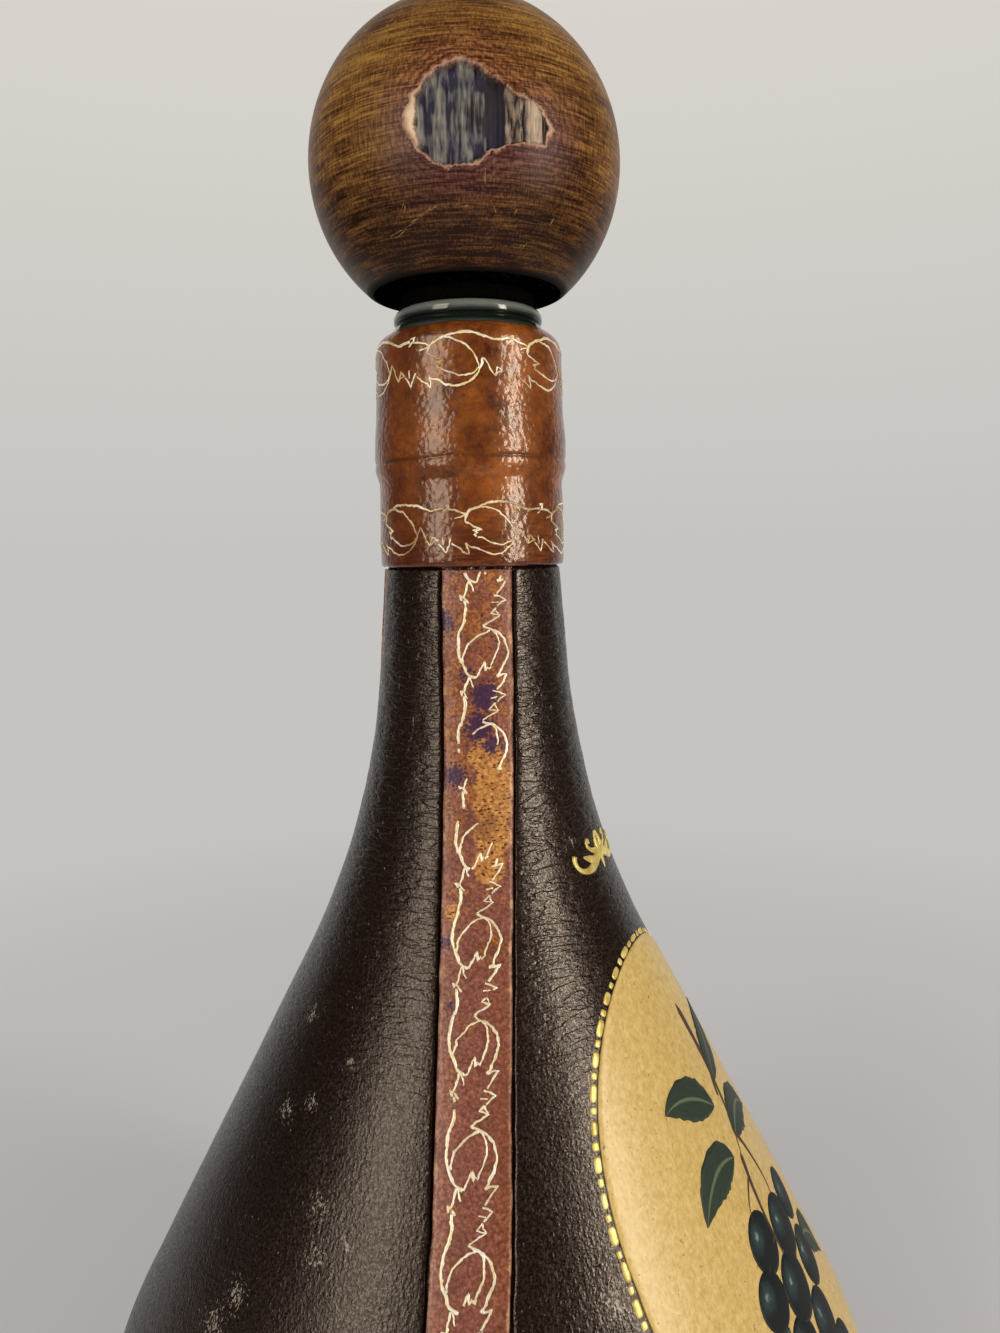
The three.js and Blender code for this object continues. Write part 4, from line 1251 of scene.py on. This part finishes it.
# Ball
# The grip of the stopper: a ball of beech turned on a lathe, stained brown and varnished, with a blackened
# flat below. One side was knocked: the skin broke away and left a pale torn rim round dark fibres.
ball_low, ball_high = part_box("stopper_ball")
ball_radius = ball_high.x
ball_middle = Vector((0.0, 0.0, ball_high.z - ball_radius))
flat_radius = math.sqrt(ball_radius ** 2 - (ball_middle.z - ball_low.z) ** 2)
flat_angle = math.asin((ball_low.z - ball_middle.z) / ball_radius)
flat_round = 0.03
flat_margin = 0.8 * MM
flat_start = flat_radius - flat_margin
side_start = (ball_radius * math.cos(flat_angle + flat_round),
              ball_middle.z + ball_radius * math.sin(flat_angle + flat_round))
ball_outline = [
    (0.0, dowel_hole_top),
    (dowel_hole, dowel_hole_top),
    *[(radius, ball_low.z) for radius in np.linspace(dowel_hole, flat_start, 8)],
    *[(flat_start * (1 - f) ** 2 + flat_radius * 2 * f * (1 - f) + side_start[0] * f * f,
       ball_low.z * (1 - f * f) + side_start[1] * f * f) for f in (0.25, 0.5, 0.75)],
    *rounding(0.0, ball_middle.z, ball_radius, ball_radius,
              np.linspace(math.pi / 2 - flat_angle - flat_round, 0.0, 96)),
]
chip_azimuth = math.radians(-66.8)
chip_tilt = math.radians(-2.3)
chip_out = polar(math.cos(chip_tilt), chip_azimuth, math.sin(chip_tilt))
chip_right = Vector((math.cos(chip_azimuth), math.sin(chip_azimuth), 0.0))
chip_up = chip_out.cross(chip_right)
# Outline of the chip to the right and up of its middle, and its depth from left to right, in mm
chip_edge = [(15.3, -1.4), (14.0, 1.3), (12.4, 2.5), (9.5, 3.6), (7.5, 5.0), (4.2, 7.3), (2.0, 8.5),
             (-0.4, 8.7), (-2.8, 7.8), (-5.4, 5.9), (-7.2, 3.2), (-7.6, -0.9), (-6.9, -4.7), (-4.6, -7.1),
             (-1.6, -7.8), (1.6, -7.6), (3.6, -7.0), (4.7, -5.8), (7.8, -4.8), (11.0, -4.1), (14.6, -4.1)]
chip_floor = [(-8.0, 1.3), (-6.0, 1.7), (4.0, 1.7), (6.0, 1.9), (7.3, 1.8), (7.8, 0.8), (10.8, 0.7),
              (11.2, 0.5), (13.4, 0.4), (13.8, 0.26), (15.4, 0.15)]
# Noise that frays the chip's edge, and that bends, parts, snaps and tears its fibres
chip_fray = [(0.45, 0.7, 3.0), (0.2, 2.2, 9.0)]
chip_noise = [(0.35, 0.16, 0.0), (2.3, 0.25, 4.0), (0.8, 0.45, 8.0), (0.5, 0.5, 12.0)]
skin_share = 0.98
finer_within = 0.82
chip_within = 0.7
bare_step = 0.35
flute = 4.3
flute_crest = 1.0
crescent_end = -4
gutter_from = 4.7
skin_from = 7.6
skin_step = 0.3
tip_from = 13
crest_height = 0.75
rim_height = 0.12
bruise_reach = 5.5
# Ridges in the skin beside the chip, from left to right, with their heights; the high ones also get painted
# pale glints and the low ones painted shade
skin_ridges = [(7.6, 0.1), (8.2, 0.45), (9.4, 0.35), (10.6, 0.5), (11.1, 0.0), (11.5, 0.8), (12.6, 1.0),
               (13.7, 0.85), (14.1, 0.15), (14.8, 0.2), (15.2, 0.7)]


def inside_by(points, edge):
    """How far points lie inside a closed outline, negative where they lie outside it."""
    nearest = np.full(len(points), np.inf)
    inside = np.zeros(len(points), bool)
    for start, end in zip(np.array(edge), np.roll(edge, -1, axis=0)):
        along = end - start
        away = points - start
        share = np.clip(away @ along / (along @ along), 0.0, 1.0)
        nearest = np.minimum(nearest, np.linalg.norm(away - share[:, None] * along, axis=1))
        crosses = (start[1] > points[:, 1]) != (end[1] > points[:, 1])
        reach = start[0] + away[:, 1] * along[0] / (along[1] or 1.0)
        inside ^= crosses & (points[:, 0] < reach)
    return np.where(inside, nearest, -nearest)


bm = turned(ball_outline, 192)


def faces_chip(corner, spread):
    """Whether a corner of the ball's skin lies within a cosine of the chip's middle."""
    away = corner.co - ball_middle
    return away.length > skin_share * ball_radius and away.normalized().dot(chip_out) > spread


near_chip = [edge for edge in bm.edges if all(faces_chip(corner, finer_within) for corner in edge.verts)]
bmesh.ops.subdivide_edges(bm, edges=near_chip, cuts=3, use_grid_fill=True)
marks = {name: bm.verts.layers.float.new(name) for name in ("bare", "ridge", "skin", "rim", "around", "away")}
chipped = [corner for corner in bm.verts if faces_chip(corner, chip_within)]
aways = [(corner.co - ball_middle).normalized() * ball_radius for corner in chipped]
spots = np.array([(away.dot(chip_right), away.dot(chip_up)) for away in aways]) / MM
ragged = np.array([sum(depth * noise.noise(Vector((*spot, layer)) * fine) for depth, fine, layer in chip_fray)
                   for spot in spots])
insides = inside_by(spots, chip_edge) + ragged
for corner, away, (right, up), inside in zip(chipped, aways, spots, insides):
    bare = clamp(inside / bare_step)
    bend, strand, snapped, tear = (noise.noise(Vector((right * across, up * along, layer)))
                                   for across, along, layer in chip_noise)
    crest = 0.6 * abs((right + 1.3 * bend - flute_crest) / flute % 1.0 * 2 - 1) ** 1.4
    crest += 0.45 * strand + 0.5 * snapped + 0.25
    if right >= skin_from:
        crest = np.interp(right, *zip(*skin_ridges)) + 0.3 * strand + 0.25 * snapped
    elif right > gutter_from:
        crest = 0.1 + 0.15 * strand
    crest = clamp(crest)
    crescent = math.exp(-((up + 0.3) / 3.4) ** 2) if right < crescent_end else 0.0
    if right > tip_from:
        crescent = 0.3 * math.exp(-((up + 1.4) / 2.0) ** 2)
    torn_width = 0.2 + 0.6 * max(0.0, 0.4 + tear) + 2.0 * crescent
    rim = max(0.0, 1.0 - max(0.0, -inside) / torn_width) ** 0.6 * (1 - bare) * (0.6 + 0.4 * crescent)
    depth = bare * (np.interp(right, *zip(*chip_floor)) - crest_height * crest) - rim_height * rim
    corner.co = ball_middle + away * (1 - depth * MM / ball_radius)
    corner[marks["bare"]] = bare
    corner[marks["ridge"]] = crest
    corner[marks["skin"]] = clamp((right - skin_from) / skin_step)
    corner[marks["rim"]] = rim
    corner[marks["around"]] = math.exp(-(min(0.0, inside) / bruise_reach) ** 2)
    corner[marks["away"]] = max(0.0, -inside)

# Stained beech: turning streaks round the ball crossed by faint upright fibres, patchy stain under a satin
# varnish, painted shade over the lower part, reddish and crazed round the chip with a painted purple
# reflection below it; slate-grey torn fibres in it and glossier brown ones beside, with painted highlights
# on their crests and painted shade between them.
stained_wood, tree, shader = finish("stained_turned_beech", {"IOR": 1.5, "Specular IOR Level": 0.17})
place = add(tree, "TexCoord").outputs["Object"]
cloud = add(tree, "TexNoise", Vector=place, Scale=1 / (12 * MM), Detail=4.0)
rounds = add(tree, "Mapping", Vector=place, Scale=(0.05, 0.05, 1.0))
streak = add(tree, "TexNoise", Vector=rounds, Scale=1 / (0.36 * MM), Detail=4.0, Roughness=0.7)
bands = add(tree, "Mapping", Vector=place, Scale=(0.12, 0.12, 1.0))
band = add(tree, "TexNoise", Vector=bands, Scale=1 / (2.4 * MM), Detail=3.0)
upright = add(tree, "Mapping", Vector=place, Scale=(1.0, 1.0, 0.16))
fibre = add(tree, "TexNoise", Vector=upright, Scale=1 / (0.36 * MM), Detail=3.0)
speckle = add(tree, "TexNoise", Vector=place, Scale=1 / (0.5 * MM), Detail=3.0)
woven = add(tree, "Math", fibre, 0.5, streak, operation="MULTIPLY_ADD")
banded = add(tree, "Math", band, 0.42, woven, operation="MULTIPLY_ADD")
patchy = add(tree, "Math", cloud, 0.3, banded, operation="MULTIPLY_ADD")
level = add(tree, "SeparateXYZ", Vector=place)
# Painted shade: darker tones over the lower part of the ball
below = add(tree, "MapRange", level.outputs["Z"], ball_low.z + 2 * MM, ball_low.z + 24 * MM, 1.0, 0.0,
            interpolation_type="SMOOTHSTEP")
tone_shaded_below = add(tree, "Math", below, -0.2, patchy, operation="MULTIPLY_ADD")
low = add(tree, "MapRange", tone_shaded_below, 0.88, 1.1)
high = add(tree, "MapRange", tone_shaded_below, 1.09, 1.31)
brown = add(tree, "Mix", low, "#1f0e05", "#694521", data_type="RGBA")
golden = add(tree, "Mix", high, brown, "#9c7638", data_type="RGBA")
around = add(tree, "Attribute", attribute_name="around")
cracked = add(tree, "Math", speckle, 0.5, woven, operation="MULTIPLY_ADD")
crazed = add(tree, "MapRange", cracked, 0.86, 1.12)
# Painted purple reflection on the lower part of the reddish halo round the chip
painted_reflection_fade = add(tree, "MapRange", level.outputs["Z"], ball_middle.z - 8 * MM, ball_middle.z + 5 * MM)
raw = add(tree, "Mix", painted_reflection_fade, "#6d454b", "#955f3c", data_type="RGBA")
reddish = add(tree, "Mix", crazed, "#38150f", raw, data_type="RGBA")
away = add(tree, "Attribute", attribute_name="away")
shaken = add(tree, "Math", speckle, 0.9, away, operation="MULTIPLY_ADD")
spaced = add(tree, "Math", shaken, math.tau / 1.15, operation="MULTIPLY")
wave = add(tree, "Math", spaced, operation="SINE")
shell = add(tree, "MapRange", wave, -0.2, 0.9, 0.0, 0.85)
reddish = add(tree, "Mix", shell, reddish, "#2e110d", data_type="RGBA")
redder = add(tree, "Math", around, 0.85, operation="MULTIPLY")
warmed = add(tree, "Mix", redder, golden, reddish, data_type="RGBA")
# More painted shade over the lower part of the ball
painted_low_shade = add(tree, "Math", below, 0.3, operation="MULTIPLY")
with_painted_low_shade = add(tree, "Mix", painted_low_shade, warmed, "#260f04", data_type="RGBA")
under = add(tree, "MapRange", level.outputs["Z"], ball_low.z + 0.1 * MM, ball_low.z + 0.9 * MM, 1.0, 0.0)
blackened = add(tree, "Mix", under, with_painted_low_shade, "#070504", data_type="RGBA")
rim = add(tree, "Attribute", attribute_name="rim")
pale = add(tree, "MapRange", rim, 0.5, 0.85)
torn = add(tree, "Mix", pale, "#9c7a66", "#d6c0a0", data_type="RGBA")
ragged = add(tree, "Math", speckle, 0.8, rim, operation="MULTIPLY_ADD")
broken = add(tree, "MapRange", ragged, 0.66, 0.9)
rimmed = add(tree, "Mix", broken, blackened, torn, data_type="RGBA")
# Painted highlights on the crests of the torn fibres and painted shade in the hollows between them; in the
# skin beside the chip, pale painted glints on the high ridges
ridge = add(tree, "Attribute", attribute_name="ridge")
lifted = add(tree, "Math", fibre, 0.9, ridge, operation="MULTIPLY_ADD")
crest = add(tree, "MapRange", lifted, 0.72, 1.5)
inky = add(tree, "MapRange", cloud, 0.4, 0.6)
hollow = add(tree, "Mix", inky, "#2a2527", "#2b2a41", data_type="RGBA")
slate = add(tree, "Mix", crest, hollow, "#85837a", data_type="RGBA")
hide = add(tree, "Mix", crest, "#2a2220", "#b09c88", data_type="RGBA")
skin = add(tree, "Attribute", attribute_name="skin")
inner = add(tree, "Mix", skin, slate, hide, data_type="RGBA")
bare = add(tree, "Attribute", attribute_name="bare")
shade = add(tree, "Mix", bare, rimmed, inner, data_type="RGBA")
varnish = add(tree, "MapRange", streak, 0.0, 1.0, 0.26, 0.5)
inner_gloss = add(tree, "MapRange", skin, 0.0, 1.0, 0.6, 0.22)
gloss = add(tree, "Mix", bare, varnish, inner_gloss)
dull = add(tree, "MapRange", under, 0.0, 1.0, 0.0, 0.45)
rough = add(tree, "Math", gloss, dull, operation="ADD")
bump = add(tree, "Bump", Height=woven, Strength=0.7, Distance=0.04 * MM)
feed(shader, {"Base Color": shade, "Roughness": rough, "Normal": bump})

ball = piece("ball", bm, stained_wood, sharp=math.radians(60))
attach(ball, "stopper")
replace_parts(ball, "stopper_ball")

# Bare beech in the scratches, paler than the stain: dry and dull.
bare_beech, tree, shader = finish("bare_scratched_beech", {"Roughness": 0.7, "Specular IOR Level": 0.2})
place = add(tree, "TexCoord").outputs["Object"]
dusty = add(tree, "TexNoise", Vector=place, Scale=1 / (0.5 * MM), Detail=3.0)
tone = add(tree, "MapRange", dusty, 0.35, 0.65)
shade = add(tree, "Mix", tone, "#5c3d1d", "#94744a", data_type="RGBA")
feed(shader, {"Base Color": shade})

# Each scratch to the right and up of the chip's middle, in mm
scratches = [[(-12.7, -17.1), (-10.7, -16.4), (-8.1, -15.5)],
             [(-8.9, -15.5), (-6.0, -14.3), (-4.1, -13.4)], [(-7.4, -14.6), (-5.2, -13.6)],
             [(-11.6, -17.3), (-9.6, -16.3)], [(-10.5, -13.9), (-9.9, -12.6)],
             [(-9.8, -14.0), (-9.6, -12.9)], [(0.2, -13.7), (1.3, -13.5)], [(5.6, -13.5), (5.9, -14.5)],
             [(8.9, -14.6), (9.6, -13.9)], [(9.8, -19.2), (10.3, -18.7)], [(10.3, -19.4), (10.9, -18.6)],
             [(10.8, -19.1), (11.3, -18.4)], [(15.3, -15.4), (16.1, -14.3)], [(4.3, -8.2), (4.3, -10.4)],
             [(-12.3, 16.3), (-11.5, 17.7), (-10.2, 19.4)], [(-2.0, 17.1), (-1.8, 15.9)],
             [(-1.6, 14.2), (-0.9, 13.1)], [(-0.4, 14.6), (0.3, 13.3)], [(-13.1, 9.4), (-12.3, 10.3)],
             [(-11.4, 9.3), (-11.0, 10.4)], [(-16.3, 8.0), (-16.1, 5.4)], [(12.1, 15.1), (12.3, 13.0)],
             [(14.4, 15.9), (14.4, 12.9)]]


def on_ball(right, up):
    forward = math.sqrt((ball_radius / MM) ** 2 - right ** 2 - up ** 2)
    return ball_middle + (chip_right * right + chip_up * up + chip_out * forward) * MM


def settle_on_ball(point):
    direction = (point - ball_middle).normalized()
    return ball_middle + direction * (ball_radius - foil_rise / 2), direction


scratch_step = 0.3
scratch_widths = (0.05, 0.28)
hand = random.Random(8)
scratch_lines = []
for ends in scratches:
    knots = [(right + hand.gauss(0.0, knot_shake), up + hand.gauss(0.0, knot_shake)) for right, up in ends]
    line = drawn_line(knots, "sharp", scratch_step)
    scratch_lines.append([(on_ball(*spot), hand.uniform(*scratch_widths) * MM) for spot in line])
foil("ball_scratches", scratch_lines, settle_on_ball, bare_beech, "stopper")

# Black paint, one brushed coat over the flat: matt, with worn streaks.
black_paint, tree, shader = finish("matt_black_paint", {
    "IOR": 1.45, "Specular IOR Level": 0.0, "Roughness": 0.8})
place = add(tree, "TexCoord").outputs["Object"]
drawn = add(tree, "Mapping", Vector=place, Scale=(0.2, 1.0, 1.0))
rubbed = add(tree, "TexNoise", Vector=drawn, Scale=1 / (0.6 * MM), Detail=4.0)
thin = add(tree, "MapRange", rubbed, 0.56, 0.7)
shade = add(tree, "Mix", thin, "#030202", "#1d1916", data_type="RGBA")
feed(shader, {"Base Color": shade})

coat = 0.08 * MM
coat_bevel = 0.35 * MM
paint_start = dowel_hole + clearance
paint_end = flat_start + coat_bevel
paint_outline = [(paint_start, ball_low.z + coat), (paint_start, ball_low.z - coat),
                 (flat_start, ball_low.z - coat), (paint_end, ball_low.z), (paint_end, ball_low.z + coat),
                 (paint_start, ball_low.z + coat)]
paint = piece("ball_black_paint", turned(paint_outline, 96), black_paint, sharp=math.radians(60))
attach(paint, "stopper")

# Studio
# A pale floor that fades into a pale backdrop. What shines mirrors that backdrop, and a dimmer room on the
# camera's side of it. A broad soft lamp stands on the camera's left and another on its right.
floor_radius = 6.0
fade_start = 0.12
fade_end = 0.75
horizon = "#c5c4c1"
zenith = "#dcd7cf"
room = "#343230"
view_azimuth = math.radians(-65)
toward_camera = polar(1.0, view_azimuth, 0.0)


def backdrop_colour(tree, rays, direction):
    """The backdrop in a direction: paler upwards, and dim on the camera's side where it is mirrored."""
    parts = add(tree, "SeparateXYZ", Vector=direction)
    rise = add(tree, "MapRange", parts.outputs["Z"], 0.0, 0.55)
    pale = add(tree, "Mix", rise, horizon, zenith, data_type="RGBA")
    facing = add(tree, "VectorMath", direction, toward_camera, operation="DOT_PRODUCT")
    dim = add(tree, "MapRange", facing, -0.8, -0.35, interpolation_type="SMOOTHSTEP")
    mirrored = add(tree, "Math", dim, rays.outputs["Is Glossy Ray"], operation="MULTIPLY")
    return add(tree, "Mix", mirrored, pale, room, data_type="RGBA")


def seen_share(tree, rays):
    """1 for the rays that show the backdrop itself: to the camera, in a reflection or through glass."""
    camera, mirror = rays.outputs["Is Camera Ray"], rays.outputs["Is Glossy Ray"]
    seen = add(tree, "Math", camera, mirror, operation="MAXIMUM")
    return add(tree, "Math", seen, rays.outputs["Is Transmission Ray"], operation="MAXIMUM")


backdrop, tree, shader = finish("pale_floor", {"Base Color": "#e9ebf2", "Roughness": 0.9,
                                               "Specular IOR Level": 0.1})
place = add(tree, "TexCoord").outputs["Object"]
away = add(tree, "VectorMath", place, operation="LENGTH")
far = add(tree, "MapRange", away, fade_start, fade_end, interpolation_type="SMOOTHSTEP")
rays = add(tree, "LightPath")
share = add(tree, "Math", far, seen_share(tree, rays), operation="MULTIPLY")
heading = add(tree, "VectorMath", place, operation="NORMALIZE")
glow = add(tree, "Emission", Color=backdrop_colour(tree, rays, heading))
mixed = add(tree, "MixShader", share, shader, glow)
feed(tree.nodes["Material Output"], {"Surface": mixed})
bm = bmesh.new()
bmesh.ops.create_circle(bm, cap_ends=True, segments=96, radius=floor_radius)
floor = piece("floor", bm, backdrop)

world = bpy.data.worlds.new("studio")
bpy.context.scene.world = world
world.use_nodes = True
tree = world.node_tree
heading = add(tree, "TexCoord").outputs["Generated"]
rays = add(tree, "LightPath")
shown = add(tree, "Background", Color=backdrop_colour(tree, rays, heading))
even = add(tree, "Background", Color="#fffaf3", Strength=0.38)
mixed = add(tree, "MixShader", seen_share(tree, rays), even, shown)
feed(tree.nodes["World Output"], {"Surface": mixed})

neck_middle = Vector((0.0, 0.0, 0.22))
lamp_distance = 1.2
lamp_tint = "#fff1df"


def lamp(name, turn, elevation, width, height, power):
    """A soft lamp at an angle to the right of the camera, turned to the neck."""
    light = bpy.data.lights.new(name, "AREA")
    light.shape = "RECTANGLE"
    light.size = width
    light.size_y = height
    light.energy = power
    light.color = colour(lamp_tint)[:3]
    made = bpy.data.objects.new(name, light)
    lift = math.radians(elevation)
    back = polar(math.cos(lift), view_azimuth + math.radians(turn), math.sin(lift))
    made.location = neck_middle + back * lamp_distance
    made.rotation_euler = back.to_track_quat("Z", "Y").to_euler()
    bpy.context.scene.collection.objects.link(made)


lamp("left_lamp", turn=-42, elevation=15, width=0.48, height=0.9, power=7.0)
lamp("right_lamp", turn=54, elevation=10, width=0.23, height=0.8, power=9.0)

camera_place = (-185.19 * MM, -86.36 * MM, 242.79 * MM)
camera_turn = math.radians(-66.44)
camera_tilt = math.radians(83.15)
camera_roll = math.radians(-1.0)
camera_data = bpy.data.cameras.new("camera")
camera_data.lens = 27.0
camera_data.sensor_width = 36.0
camera_data.clip_start = 0.01
camera = bpy.data.objects.new("camera", camera_data)
camera.matrix_world = (
    Matrix.Translation(camera_place)
    @ Matrix.Rotation(camera_turn, 4, "Z")
    @ Matrix.Rotation(camera_tilt, 4, "X")
    @ Matrix.Rotation(camera_roll, 4, "Z")
)
bpy.context.scene.collection.objects.link(camera)
bpy.context.scene.camera = camera
bpy.context.scene.view_settings.view_transform = "Standard"
